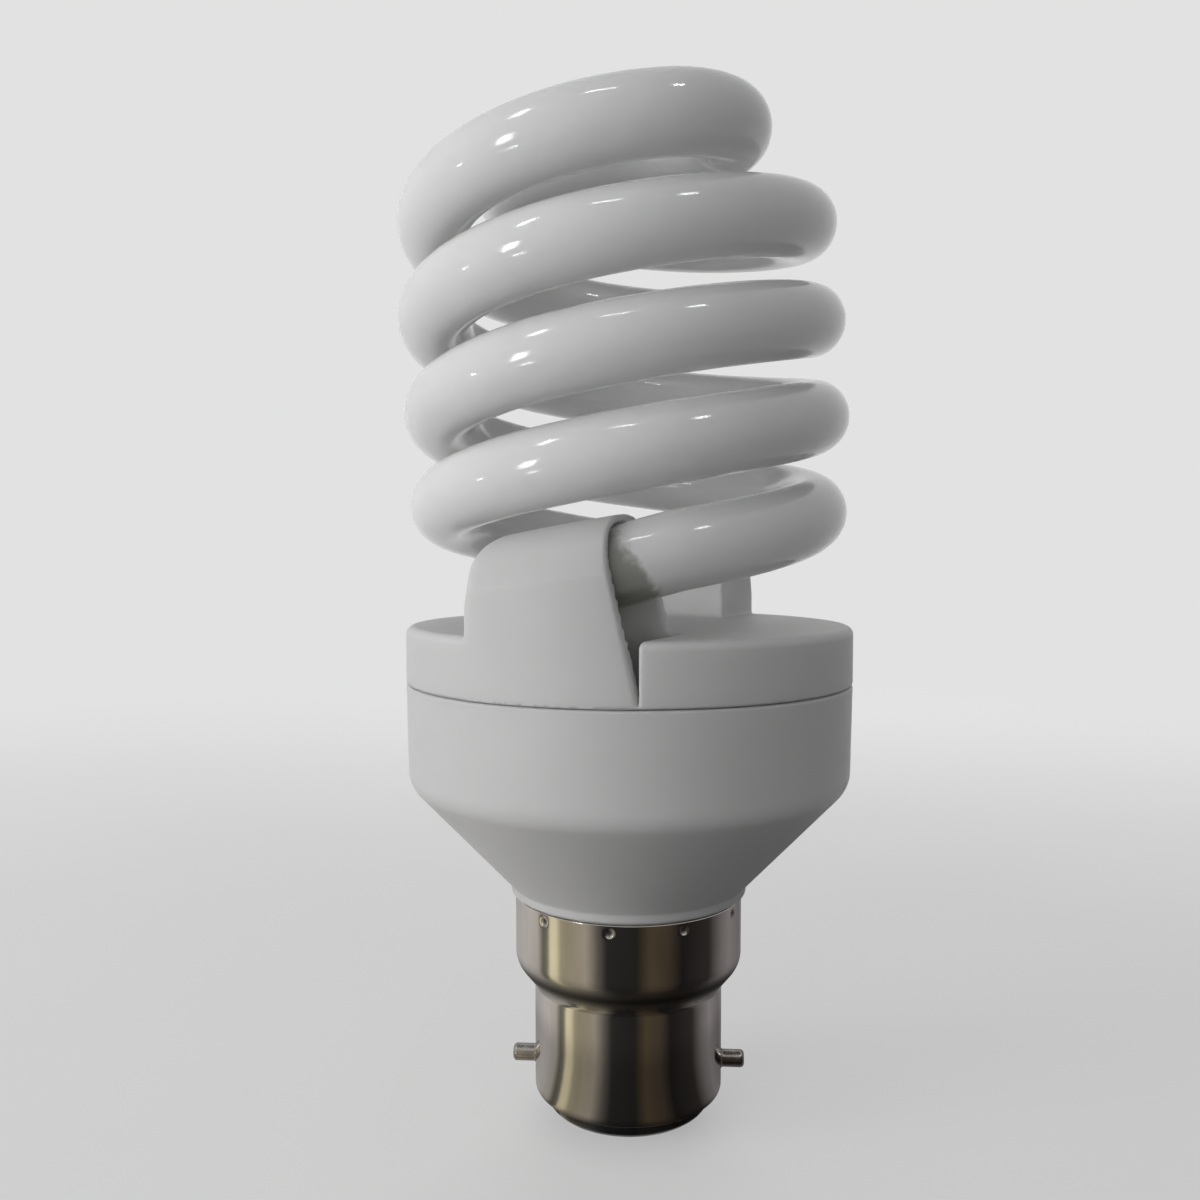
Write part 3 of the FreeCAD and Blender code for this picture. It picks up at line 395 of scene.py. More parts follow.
class Nodes:
    """Writer for a tree of shader nodes."""

    def __init__(self, owner: bpy.types.Material | bpy.types.World, output: str) -> None:
        """Start an empty tree.

        Args:
            owner: material or world that has the tree.
            output: Blender's name of its output node.
        """
        owner.use_nodes = True
        self.tree = owner.node_tree
        self.tree.nodes.clear()
        self.surface = self.tree.nodes.new(output).inputs["Surface"]

    def link(self, source: Socket, target: Socket) -> None:
        """Join an output to an input."""
        self.tree.links.new(source, target)

    def fill(self, node: bpy.types.Node, inputs: dict[str | int, object]) -> None:
        """Link a node's inputs to the sockets that are given, and set the others.

        Args:
            node: the node.
            inputs: sockets and values, by the names or numbers of the inputs.
        """
        for name, value in inputs.items():
            if isinstance(value, Socket):
                self.link(value, node.inputs[name])
            else:
                node.inputs[name].default_value = value

    def add(self, kind: str, output: str, inputs: dict[str | int, object], **settings: object) -> Socket:
        """Add a node.

        Args:
            kind: Blender's name of the node type, without ShaderNode.
            output: name of the output that is used.
            inputs: sockets and values, by the names or numbers of the inputs.
            settings: properties of the node.

        Returns:
            The output.
        """
        node = self.tree.nodes.new(f"ShaderNode{kind}")
        for name, value in settings.items():
            setattr(node, name, value)
        self.fill(node, inputs)
        return node.outputs[output]

    def math(self, operation: str, first: Socket, second: Socket | float = 0.0) -> Socket:
        """Join two values by one of Blender's operations."""
        return self.add("Math", "Value", {0: first, 1: second}, operation=operation)

    def seen_rays(self) -> Socket:
        """1 for camera rays, reflections and rays through glass, and 0 for those of soft light."""
        seen = [self.add("LightPath", f"Is {ray} Ray", {}) for ray in ("Camera", "Glossy", "Transmission")]
        return self.math("MAXIMUM", seen[0], self.math("MAXIMUM", *seen[1:]))

    def blend(self, share: Socket, first: Socket, second: Socket) -> None:
        """Show one shader where a share is 0 and another where it is 1."""
        self.link(self.add("MixShader", "Shader", {0: share, 1: first, 2: second}), self.surface)


class NodeSheet(Nodes):
    """Writer for the nodes of one procedural material with a principled shader."""

    LOW, HIGH = 0.3, 0.7

    def __init__(self, name: str) -> None:
        """Start the material.

        Args:
            name: its name.
        """
        self.material = bpy.data.materials.new(name)
        super().__init__(self.material, "ShaderNodeOutputMaterial")
        self.shaded = self.add("BsdfPrincipled", "BSDF", {})
        self.link(self.shaded, self.surface)
        self.place = self.add("TexCoord", "Object", {})

    def shade(self, **inputs: object) -> None:
        """Fill inputs of the principled shader; an underscore stands for a blank."""
        self.fill(self.shaded.node, {name.replace("_", " "): value for name, value in inputs.items()})

    def noise(self, size: float, detail: float = 3.0, tall: float = 1.0) -> Socket:
        """Soft noise fixed to the piece.

        Args:
            size: length of its features in millimetres.
            detail: octaves of finer noise on it.
            tall: how many times longer the features are along Z.

        Returns:
            Values around one half.
        """
        scale = [1 / (size * MM * times) for times in (1, 1, tall)]
        place = self.add("Mapping", "Vector", {"Vector": self.place, "Scale": scale})
        return self.add("TexNoise", "Fac", {"Vector": place, "Scale": 1.0, "Detail": detail})

    def spread(self, source: Socket, first: float, last: float, low: float = LOW,
               high: float = HIGH) -> Socket:
        """Ease values from the span of low to high to that of first to last, held at both ends."""
        inputs = {"Value": source, "From Min": low, "From Max": high, "To Min": first, "To Max": last}
        return self.add("MapRange", "Result", inputs, interpolation_type="SMOOTHSTEP")

    def level(self) -> Socket:
        """Height in the CAD frame, in metres."""
        return self.add("SeparateXYZ", "Z", {"Vector": self.place})

    def height(self, centre: float, reach: float) -> Socket:
        """1 at a height in millimetres, falling to 0 at a reach above and below it."""
        away = self.math("ABSOLUTE", self.math("SUBTRACT", self.level(), centre * MM))
        return self.spread(away, 1.0, 0.0, 0.0, reach * MM)

    def ramp(self, source: Socket, stops: Sequence[tuple[float, Colour]]) -> Socket:
        """Colour of values by stops.

        Args:
            source: the values.
            stops: value and colour of each stop, rising.

        Returns:
            The colour.
        """
        colour = self.add("ValToRGB", "Color", {"Fac": source})
        elements = colour.node.color_ramp.elements
        elements.remove(elements[-1])
        for index, (value, shade) in enumerate(stops):
            stop = elements.new(value) if index else elements[0]
            stop.position, stop.color = value, (*shade, 1)
        return colour

    def tint(self, source: Socket, low: Colour, high: Colour) -> Socket:
        """Colour between two colours, by values around one half."""
        return self.ramp(source, ((self.LOW, low), (self.HIGH, high)))

    def mix(self, share: Socket, base: Socket, colour: Colour) -> Socket:
        """Lay a colour over a base, as much as the share says."""
        inputs = {"Factor": share, "A": base, "B": (*colour, 1)}
        return self.add("Mix", "Result", inputs, data_type="RGBA")

    def mark(self, name: str) -> Socket:
        """Values that the mesh carries at its points."""
        return self.add("Attribute", "Fac", {}, attribute_name=name)

    def relief(self, size: float, rise: float, detail: float = 2.0, tall: float = 1.0) -> None:
        """Raise the surface by noise, on top of earlier relief.

        Args:
            size: length of the noise's features in millimetres.
            rise: height of the noise in millimetres.
            detail: octaves of finer noise on it.
            tall: how many times longer the features are along Z.
        """
        normal, height = self.shaded.node.inputs["Normal"], self.noise(size, detail, tall)
        inputs = {"Strength": 1.0, "Distance": rise * MM, "Height": height}
        if normal.links:
            inputs["Normal"] = normal.links[0].from_socket
        self.link(self.add("Bump", "Normal", inputs), normal)


@dataclass(frozen=True)
class Finish:
    """A surface with clouded colour, uneven gloss and a grain.

    The glow is the share of light that passes into the piece, to about the depth.
    """

    slot: Slot
    low: Colour
    high: Colour
    cloud: float = 6.0
    smooth: float = 0.35
    rough: float = 0.5
    patch: float = 2.0
    grain: float = 0.3
    grain_rise: float = 0.004
    metallic: float = 0.0
    coat: float = 0.0
    coat_rough: float = 0.08
    glow: float = 0.0
    depth: float = 1.0

    def material(self) -> bpy.types.Material:
        """Give the material, which is made at its first use.

        The frame's plain materials have the slots' own names, so this one's is longer.

        Returns:
            The material.
        """
        name = f"{self.slot.value}_finish"
        made = bpy.data.materials.get(name)
        if made is None:
            sheet = NodeSheet(name)
            self.dress(sheet)
            made = sheet.material
        return made

    def tone(self, sheet: NodeSheet) -> Socket:
        """Colour in clouds between the low and the high one."""
        return sheet.tint(sheet.noise(self.cloud), self.low, self.high)

    def dress(self, sheet: NodeSheet) -> None:
        """Write the nodes of the finish.

        Args:
            sheet: the material's nodes.
        """
        rough = sheet.spread(sheet.noise(self.patch), self.smooth, self.rough)
        sheet.shade(Base_Color=self.tone(sheet), Roughness=rough, Metallic=self.metallic)
        sheet.shade(Coat_Weight=self.coat, Coat_Roughness=self.coat_rough, Subsurface_Weight=self.glow)
        sheet.shade(Subsurface_Radius=(1, 1, 1), Subsurface_Scale=self.depth * MM)
        sheet.relief(self.grain, self.grain_rise)


@dataclass(frozen=True)
class CoatedGlass(Finish):
    """White powder coat seen through clear gloss glass, greyer towards the tube's feet: partly the sealed
    ends' own grey, partly painted shadow of the hood at the mouth.
    """

    coat: float = 1.0
    coat_rough: float = 0.10
    index: float = 1.52
    glow: float = 1.0
    depth: float = 9.0
    # Grey over the feet: partly the sealed ends' own grey, partly painted shadow of the hood.
    foot_colour: Colour = (0.32, 0.32, 0.29)
    rag: float = 1.1
    rag_span: tuple[float, float] = (0.7, 1.3)
    ripple: float = 7.0
    ripple_rise: float = 0.006
    ripple_detail: float = 1.0

    def tone(self, sheet: NodeSheet) -> Socket:
        """White clouds, with the foot's colour laid over them up to a ragged edge.

        Args:
            sheet: the material's nodes.

        Returns:
            The colour.
        """
        # The foot mark lays the grey and the painted shadow up to a ragged edge.
        ragged = sheet.math("ADD", sheet.mark("foot"), sheet.noise(self.rag))
        share = sheet.spread(ragged, 0.0, 1.0, *self.rag_span)
        return sheet.mix(share, super().tone(sheet), self.foot_colour)

    def dress(self, sheet: NodeSheet) -> None:
        """Write the nodes of the finish.

        Args:
            sheet: the material's nodes.
        """
        sheet.shade(Coat_IOR=self.index, Specular_IOR_Level=0.0)
        sheet.relief(self.ripple, self.ripple_rise, self.ripple_detail)
        super().dress(sheet)


@dataclass(frozen=True)
class PressedNickel(Finish):
    """Drawn and plated sheet: upright drawing marks and smudges, with painted shade, a dark reflection,
    darkening its bend, its rim and its dents.
    """

    metallic: float = 1.0
    detail: float = 4.0
    cloud_tall: float = 2.5
    patch_tall: float = 4.0
    # Painted shade: a dark reflection laid over the shoulder's bend, the rim and the dents, in this colour
    # and with this roughness.
    bend_height: float = 11.5
    bend_reach: float = 2.4
    rim_height: float = -3.5
    rim_reach: float = 1.3
    painted_shade: Colour = (0.07, 0.065, 0.06)
    painted_shade_rough: float = 0.6
    mark_width: float = 0.09
    mark_tall: float = 60.0
    mark_rise: float = 0.0006

    def dress(self, sheet: NodeSheet) -> None:
        """Write the nodes of the finish.

        Args:
            sheet: the material's nodes.
        """
        base = sheet.tint(sheet.noise(self.cloud, self.detail, self.cloud_tall), self.low, self.high)
        # Painted shade: the bend, the rim and the dents are darkened and roughened in place of the dark
        # reflections they would show.
        bend = sheet.height(self.bend_height, self.bend_reach)
        rim = sheet.height(self.rim_height, self.rim_reach)
        painted_dark = sheet.math("MAXIMUM", sheet.math("MAXIMUM", bend, rim), sheet.mark("dent"))
        patches = sheet.noise(self.patch, self.detail, self.patch_tall)
        clean = sheet.spread(patches, self.smooth, self.rough)
        rough = sheet.math("MAXIMUM", clean, sheet.math("MULTIPLY", painted_dark, self.painted_shade_rough))
        sheet.shade(Base_Color=sheet.mix(painted_dark, base, self.painted_shade), Roughness=rough)
        sheet.shade(Metallic=self.metallic)
        sheet.relief(self.mark_width, self.mark_rise, tall=self.mark_tall)
        sheet.relief(self.grain, self.grain_rise)


@dataclass(frozen=True)
class LumpyFiller(Finish):
    """Filler that was pressed in wet and set with lumps and stains."""

    lump: float = 1.6
    lump_rise: float = 0.35
    lump_detail: float = 3.0

    def dress(self, sheet: NodeSheet) -> None:
        """Write the nodes of a plain finish, and its lumps."""
        super().dress(sheet)
        sheet.relief(self.lump, self.lump_rise, self.lump_detail)


class Finishes:
    """All finishes of the lamp."""

    PLASTIC = Finish(Slot.WHITE_PLASTIC, (0.67, 0.67, 0.665), (0.71, 0.71, 0.705), cloud=22, smooth=0.46,
                     rough=0.58, patch=1.6, grain=0.24, grain_rise=0.003, glow=0.7, depth=3.0)
    GLASS = CoatedGlass(Slot.COATED_GLASS, (0.76, 0.76, 0.76), (0.80, 0.80, 0.80), cloud=16, smooth=0.3,
                        rough=0.42, patch=3.0, grain=0.5, grain_rise=0.001)
    CAP = PressedNickel(Slot.CAP_METAL, (0.54, 0.51, 0.47), (0.70, 0.67, 0.62), cloud=5, smooth=0.05,
                        rough=0.12, patch=2.5, grain=0.6, grain_rise=0.0024)
    PIN = Finish(Slot.PIN_METAL, (0.32, 0.30, 0.28), (0.48, 0.45, 0.43), cloud=1.2, smooth=0.2,
                 rough=0.34, patch=0.7, grain=0.12, grain_rise=0.0008, metallic=1.0)
    BLACK = Finish(Slot.BLACK_GLASS, (0.010, 0.010, 0.011), (0.022, 0.021, 0.021), cloud=3, smooth=0.10,
                   rough=0.26, patch=1.5, grain=0.8, grain_rise=0.006)
    SOLDER = Finish(Slot.SOLDER, (0.46, 0.46, 0.45), (0.66, 0.66, 0.64), cloud=1.2, smooth=0.26,
                    rough=0.46, patch=0.6, grain=0.5, grain_rise=0.02, metallic=1.0)
    CEMENT = LumpyFiller(Slot.CEMENT, (0.24, 0.22, 0.19), (0.44, 0.38, 0.32), cloud=2.2, smooth=0.7,
                         rough=0.9, patch=1.0, grain=0.25, grain_rise=0.03)
    TINNED = Finish(Slot.TINNED_WIRE, (0.52, 0.51, 0.49), (0.70, 0.69, 0.67), cloud=0.8, smooth=0.22,
                    rough=0.38, patch=0.5, grain=0.1, grain_rise=0.002, metallic=1.0)
    BOARD = Finish(Slot.BOARD, (0.40, 0.28, 0.13), (0.52, 0.38, 0.19), cloud=3, smooth=0.5, rough=0.66,
                   patch=1.0, grain=0.15, grain_rise=0.006)
    SLEEVE = Finish(Slot.CAPACITOR_SLEEVE, (0.035, 0.04, 0.06), (0.06, 0.065, 0.09), cloud=4,
                    smooth=0.25, rough=0.38, grain=0.4, coat=0.3)
    FERRITE = Finish(Slot.FERRITE, (0.045, 0.045, 0.05), (0.09, 0.09, 0.095), cloud=1.5, smooth=0.5,
                     rough=0.75, patch=0.6, grain=0.12, grain_rise=0.012)
    BOBBIN = Finish(Slot.BOBBIN_PLASTIC, (0.03, 0.03, 0.03), (0.06, 0.06, 0.058), smooth=0.4, rough=0.6)
    COPPER = Finish(Slot.COPPER_WIRE, (0.46, 0.17, 0.06), (0.66, 0.29, 0.11), cloud=1.5, smooth=0.22,
                    rough=0.36, patch=0.5, grain=0.16, grain_rise=0.03, metallic=1.0, coat=0.6)
    RESIN = Finish(Slot.BLACK_RESIN, (0.022, 0.022, 0.022), (0.045, 0.044, 0.043), smooth=0.5,
                   rough=0.7, grain=0.1, grain_rise=0.006)
    FILM = Finish(Slot.FILM_RESIN, (0.36, 0.06, 0.03), (0.46, 0.10, 0.05), smooth=0.14, rough=0.28,
                  grain=0.7, grain_rise=0.01, coat=0.8)
    LACQUER = Finish(Slot.RESISTOR_LACQUER, (0.44, 0.33, 0.18), (0.55, 0.43, 0.26), smooth=0.4, rough=0.58)
    FUSE = Finish(Slot.FUSE_LACQUER, (0.12, 0.19, 0.13), (0.18, 0.27, 0.19), smooth=0.42, rough=0.6)
    DIODE = Finish(Slot.DIODE_GLASS, (0.02, 0.05, 0.16), (0.04, 0.09, 0.24), smooth=0.1, rough=0.22,
                   coat=0.7)


class SubAssembly:
    """A group of pieces that are built together."""

    @staticmethod
    def fit(surface: Surface, name: str, node: str, finish: Finish) -> None:
        """Put a piece in the place of a CAD node.

        Args:
            surface: shape of the piece.
            name: name of the piece.
            node: CAD node that it stands for.
            finish: its surface.
        """
        piece = surface.as_object(name)
        piece.data.materials.append(finish.material())
        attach(piece, BODY)
        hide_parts(node)
        log.info("%s stands for %s: %d points", name, node, len(surface.points))

    @staticmethod
    def paint(node: str, finish: Finish) -> None:
        """Dress a CAD node that keeps its shape.

        Args:
            node: name of the node.
            finish: its surface.
        """
        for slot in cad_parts[node].material_slots:
            slot.material = finish.material()
        log.info("%s keeps its shape, finish %s", node, finish.slot.value)


@dataclass
class BayonetCap(SubAssembly):
    """Pressed metal cap with crimp dents, two pins, black glass in its rim and two contacts."""

    neck_radius: float = 11.0
    sheet: float = 0.4
    edge_round: float = 0.12
    rim_round: float = 0.9
    rim_ledge: float = 0.8
    neck_rise: float = 9.5
    neck_round: float = 1.0
    skirt_rise: float = 12.3
    skirt_round: float = 3.0
    lip_gap: float = 0.25
    step: float = 0.6
    columns: int = 400
    dent_count: int = 10
    dent_turn: float = -6.4
    dent_drop: float = 1.15
    dent_radius: float = 0.85
    dent_depth: float = 0.22
    dent_lip: float = 0.04
    dent_step: float = 0.16
    pin_radius: float = 1.0
    pin_tip_round: float = 0.45
    pin_flare: float = 0.15
    pin_edge: float = 0.05
    pin_fillet: float = 0.1
    pin_step: float = 0.2
    pin_columns: int = 64
    glass_clear: float = 0.04
    glass_round: float = 1.9
    glass_rise: float = 1.4
    glass_edge: float = 0.05
    glass_seat_round: float = 0.45
    glass_top_round: float = 0.2
    glass_step: float = 0.4
    glass_columns: int = 192
    contact_power: float = 3.2
    contact_offset: float = 4.5
    contact_lift: float = 0.25
    contact_core: float = 0.06
    contact_rings: int = 24
    contact_columns: int = 96

    def __post_init__(self) -> None:
        """Read the sizes that the frame gives."""
        low, high = cad_box("cap_shell")
        self.skirt_radius, self.skirt_top, self.rim_foot = high[0], high[2], low[2]
        self.pin_reach = cad_box("bayonet_pins")[1][0]
        self.glass_foot = cad_box("cap_insulator")[0][2]
        self.contact_low, self.contact_high = cad_box("contact_plates")

    def crimped(self, surface: Surface) -> Surface:
        """Press the ring of crimp dents into the skirt.

        A dent is the cap of a ball: its depth is sqrt(R^2 - d^2) - (R - depth) at a distance d
        over the skirt from the dent's middle, rounded off to nothing by a soft lip.

        Args:
            surface: the plain shell.

        Returns:
            The pressed shell, with the share of a dent's depth at each point.
        """
        points, ball = surface.points, self.dent_radius
        pitch = 2 * np.pi / self.dent_count
        angle = np.arctan2(points[:, 1], points[:, 0]) - math.radians(self.dent_turn)
        aside = self.skirt_radius * (angle - (np.floor(angle / pitch) + 0.5) * pitch)
        away = np.hypot(aside, points[:, 2] - (self.skirt_top - self.dent_drop))
        hollow = np.sqrt(np.maximum(ball ** 2 - away ** 2, 0)) - ball + self.dent_depth
        press = 0.5 * (hollow + np.hypot(hollow, self.dent_lip)) * (away < 2 * ball)
        share = 1 - press / np.maximum(np.hypot(points[:, 0], points[:, 1]), 1)
        pressed = points * np.stack((share, share, np.ones_like(share)), axis=-1)
        # The dent share also places painted shade in the dents.
        dent = np.clip(press / self.dent_depth, 0, 1)
        return Surface(pressed, surface.quads, marks={"dent": dent})

    def shell(self) -> Surface:
        """Swing the sheet metal's section about the axis and crimp it.

        Returns:
            The shell.
        """
        inside, sheet, edge = self.neck_radius - self.sheet, self.sheet, self.edge_round
        skirt_inside, top = self.skirt_radius - sheet, self.skirt_top - self.lip_gap
        outline = rounded_outline((
            (inside - self.rim_ledge, self.rim_foot, edge),
            (self.neck_radius, self.rim_foot, self.rim_round),
            (self.neck_radius, self.neck_rise, self.neck_round),
            (self.skirt_radius, self.skirt_rise, self.skirt_round),
            (self.skirt_radius, top, edge),
            (skirt_inside, top, edge),
            (skirt_inside, self.skirt_rise, self.skirt_round - sheet),
            (inside, self.neck_rise, self.neck_round + sheet),
            (inside, self.rim_foot + sheet, self.rim_round - sheet),
            (inside - self.rim_ledge, self.rim_foot + sheet, edge),
        ), True, self.step, (self.skirt_rise, self.dent_step))
        return self.crimped(swung(outline, self.columns, True))

    def pins(self) -> Surface:
        """Turn a pin with a round tip, a straight shank and a flared foot, and lay it along X.

        Returns:
            Both pins.
        """
        seat, foot = self.neck_radius - 0.5 * self.sheet, self.pin_radius + self.pin_flare
        outline = rounded_outline((
            (0, seat, 0),
            (foot, seat, self.pin_edge),
            (foot, self.neck_radius, self.pin_edge),
            (self.pin_radius, self.neck_radius + self.pin_flare, self.pin_fillet),
            (self.pin_radius, self.pin_reach, self.pin_tip_round),
            (0, self.pin_reach, 0),
        ), False, self.pin_step)
        pin = lathe(outline, self.pin_columns)
        pin.points = pin.points[:, (2, 1, 0)] * (1, 1, -1)
        return pin.paired()

    def insulator(self) -> Surface:
        """Turn the black glass, which is seated on the rim's ledge.

        Returns:
            The glass.
        """
        inside = self.neck_radius - self.sheet - self.glass_clear
        waist, seat = inside - self.rim_ledge, self.rim_foot + self.sheet
        outline = rounded_outline((
            (0, self.glass_foot, 0),
            (waist, self.glass_foot, self.glass_round),
            (waist, seat, self.glass_edge),
            (inside, seat, self.glass_seat_round),
            (inside, seat + self.glass_rise, self.glass_top_round),
            (0, seat + self.glass_rise, 0),
        ), False, self.glass_step)
        return lathe(outline, self.glass_columns)

    def contacts(self) -> Surface:
        """Shape the two cushions under the glass.

        A cushion's outline is |x / a|^p + |y / b|^p = 1, and at a share s of the way from its
        middle to its edge it hangs down by its depth times sqrt(1 - s^3).

        Returns:
            Both cushions.
        """
        height, lifted = self.glass_foot - self.contact_low[2], self.glass_foot + self.contact_lift
        share = np.append(0.0, np.linspace(self.contact_core, 1, self.contact_rings))
        level = self.glass_foot - height * np.sqrt(1 - share ** 3)
        outline = np.vstack((np.stack((share, level), axis=-1), ((1, lifted), (0, lifted))))
        cushion = lathe(outline, self.contact_columns)
        across, power = np.abs(cushion.points[:, :2]), self.contact_power
        round_size, size = np.hypot(*across.T), (across ** power).sum(axis=1) ** (1 / power)
        stretch = (round_size / np.where(size > 0, size, 1))[:, None]
        cushion.points[:, :2] *= stretch * (self.contact_high[:2] - (0, self.contact_offset))
        cushion.points[:, 1] += self.contact_offset
        return cushion.paired()

    def build(self) -> None:
        """Make and dress all pieces of the cap."""
        self.fit(self.shell(), "cap_shell_pressed", "cap_shell", Finishes.CAP)
        self.fit(self.pins(), "bayonet_pins_turned", "bayonet_pins", Finishes.PIN)
        self.fit(self.insulator(), "cap_insulator_glass", "cap_insulator", Finishes.BLACK)
        self.fit(self.contacts(), "contact_cushions", "contact_plates", Finishes.SOLDER)
        self.paint("mains_leads", Finishes.TINNED)


@dataclass
class BallastHousing(SubAssembly):
    """Moulded cup with a straight wall, a cone, a lip over the cap and a sleeve inside it."""

    draft: float = 0.2
    wall: float = 1.6
    shoulder_height: float = 33.80
    shoulder_round: float = 3.5
    shoulder_hollow: float = 2.0
    lip_radius: float = 13.75
    lip_height: float = 1.06
    lip_edge: float = 0.35
    lip_fillet: float = 0.5
    lip_corner: float = 0.1
    seam_gap: float = 0.06
    seam_edge: float = 0.3
    inner_edge: float = 0.2
    sleeve_outside: float = 12.79
    sleeve_wall: float = 1.2
    cone_wall: float = 2.2
    cone_hollow: float = 1.0
    step: float = 0.6
    columns: int = 384

    def __post_init__(self) -> None:
        """Read the sizes that the frame gives."""
        low, high = cad_box("ballast_housing")
        self.radius, self.seam, self.sleeve_foot = high[:2].min(), high[2] - self.seam_gap, low[2]
        self.lip_foot = cad_box("cap_shell")[1][2]

    def shell(self) -> Surface:
        """Swing the cup's section, outside and inside, about the axis.

        Returns:
            The cup.
        """
        lip_top = self.lip_foot + self.lip_height
        foot, inside = self.radius - self.draft, self.radius - self.wall
        slope = (foot - self.lip_radius) / (self.shoulder_height - lip_top)
        bore = self.sleeve_outside - self.sleeve_wall
        outline = rounded_outline((
            (bore, self.sleeve_foot, self.inner_edge),
            (self.sleeve_outside, self.sleeve_foot, self.inner_edge),
            (self.sleeve_outside, self.lip_foot, self.lip_corner),
            (self.lip_radius, self.lip_foot, self.lip_edge),
            (self.lip_radius, lip_top, self.lip_fillet),
            (foot, self.shoulder_height, self.shoulder_round),
            (self.radius, self.seam, self.seam_edge),
            (inside, self.seam, self.inner_edge),
            (inside, self.shoulder_height + self.cone_wall, self.shoulder_hollow),
            (bore, lip_top + self.cone_wall + (bore - self.lip_radius) / slope, self.cone_hollow),
        ), True, self.step)
        return swung(outline, self.columns, True)

    def build(self) -> None:
        """Make and dress the housing."""
        self.fit(self.shell(), "ballast_housing_moulded", "ballast_housing", Finishes.PLASTIC)


@dataclass(frozen=True)
class HoodView:
    """Points as they lie to one hood.

    Side is the distance from the hood's middle along its face, towards the mouth. Facing is the
    distance from the axis along the way the hood faces, and over the height over the middle of
    the tube's foot.
    """

    radius: Array
    z: Array
    side: Array
    facing: Array
    over: Array


@dataclass
class TubeHolderCover(SubAssembly):
    """Moulded drum with a deck and two slanted hoods that take the tube's feet.

    The drum, the hoods and their hollows are signed distances. They are joined with the small
    fillets and round edges of a moulding, and the skin of the outcome is netted.
    """

    deck: float = 51.56
    deck_round: float = 0.9
    seam_gap: float = 0.06
    seam_round: float = 0.3
    hood_angle: float = -110.8
    foot_height: float = 56.9194
    hood_half: float = 5.62
    roof_top: float = 5.63
    roof_round: float = 4.0
    roof_inset: float = 1.5
    hood_closed: float = 7.4
    hood_wall: float = 1.2
    end_rise: float = 1.0
    end_round: float = 4.5
    hood_edge: float = 0.8
    hood_near: float = 4.0
    mouth_reach: float = 8.53
    mouth_slant: float = 0.203
    mouth_round: float = 0.35
    pocket_half: float = 4.42
    pocket_top: float = 4.88
    pocket_round: float = 4.2
    slot_reach: float = 10.9
    slot_edge: float = 0.34
    fillet: float = 0.5
    cell: float = 0.304
    margin: float = 2.0
    foot_margin: float = 2.3

    def __post_init__(self) -> None:
        """Read the sizes that the frame gives."""
        across, deep, housing_top = cad_box("ballast_housing")[1]
        self.radius, self.seam = min(across, deep), housing_top + self.seam_gap
        self.top = cad_box("tube_holder_cover")[1][2]

    def view(self, points: Array, half_turn: float) -> HoodView:
        """Lay points out as they lie to a hood.

        Args:
            points: the points.
            half_turn: 0 for the first hood and 180 for the second.

        Returns:
            Their places.
        """
        x, y, z = points.T
        turn = math.radians(self.hood_angle + half_turn)
        facing = x * math.cos(turn) + y * math.sin(turn)
        side = y * math.cos(turn) - x * math.sin(turn)
        climb = STRAND_RISE / 360 * np.degrees(np.arctan2(side, facing))
        return HoodView(np.hypot(x, y), z, side, facing, z - self.foot_height - climb)

    def past_mouth(self, at: HoodView) -> Array:
        """Distance beyond the slanted plane of a hood's mouth."""
        reach = self.mouth_reach - self.mouth_slant * (at.z - self.foot_height)
        return (at.side - reach) / math.hypot(1, self.mouth_slant)

    def drum(self, radius: Array, z: Array) -> Array:
        """Distance to the drum: a disc with a round edge at the deck and a small one at the seam."""
        top = meet(radius - self.radius, z - self.deck, self.deck_round)
        return meet(top, self.seam - z, self.seam_round)

    def hood(self, at: HoodView) -> Array:
        """Distance to a hood: an arch along the tube's foot, closed at one end, with a mouth.

        Args:
            at: points as they lie to the hood.

        Returns:
            Signed distances.
        """
        slant = math.atan2(self.roof_inset, self.roof_top)
        outer = (at.radius - self.radius) * math.cos(slant) + at.over * math.sin(slant)
        inner = FOOT_RADIUS - self.hood_half - at.radius
        arch = meet(np.maximum(inner, outer), at.over - self.roof_top, self.roof_round)
        roof = at.over - self.roof_top - self.end_rise
        end = meet(-self.hood_closed - at.side, roof, self.end_round)
        shape = meet(meet(arch, end, self.hood_edge), self.past_mouth(at), self.mouth_round)
        floor = self.seam + self.seam_round - at.z
        return np.maximum.reduce((shape, floor, self.hood_near - at.facing))

    def hollow(self, at: HoodView) -> Array:
        """Distance to a hood's pocket with the slot that its mouth leaves in the drum's wall.

        Args:
            at: points as they lie to the hood.

        Returns:
            Signed distances.
        """
        aside = np.abs(at.radius - FOOT_RADIUS) - self.pocket_half
        tunnel = meet(aside, at.over - self.pocket_top, self.pocket_round)
        floor, reach = self.seam + self.seam_round - at.z, at.side - self.slot_reach
        back = self.hood_wall - self.hood_closed - at.side
        pocket = np.maximum.reduce((tunnel, back, reach, floor, self.hood_near - at.facing))
        near = FOOT_RADIUS - self.pocket_half - at.facing
        slot = np.maximum.reduce((near, -self.past_mouth(at), reach, floor))
        return np.minimum(pocket, slot)

    def distance(self, points: Array) -> Array:
        """Distance to the whole cover.

        Args:
            points: the points.

        Returns:
            Signed distances, negative inside.
        """
        views = [self.view(points, half_turn) for half_turn in HALF_TURNS]
        radius = views[0].radius
        body = self.drum(radius, points[:, 2])
        for at in views:
            body = join(body, self.hood(at), self.fillet)
        body = np.maximum(body, radius - self.radius)
        for at in views:
            body = meet(body, -self.hollow(at), self.slot_edge)
        return body

    def build(self) -> None:
        """Make and dress the cover."""
        reach = self.radius + self.margin * self.cell
        low = np.array((-reach, -reach, self.seam - self.foot_margin * self.cell))
        high = np.array((reach, reach, self.top + self.margin * self.cell))
        skin = netted(self.distance, low, high, self.cell)
        self.fit(skin, "tube_holder_cover_moulded", "tube_holder_cover", Finishes.PLASTIC)


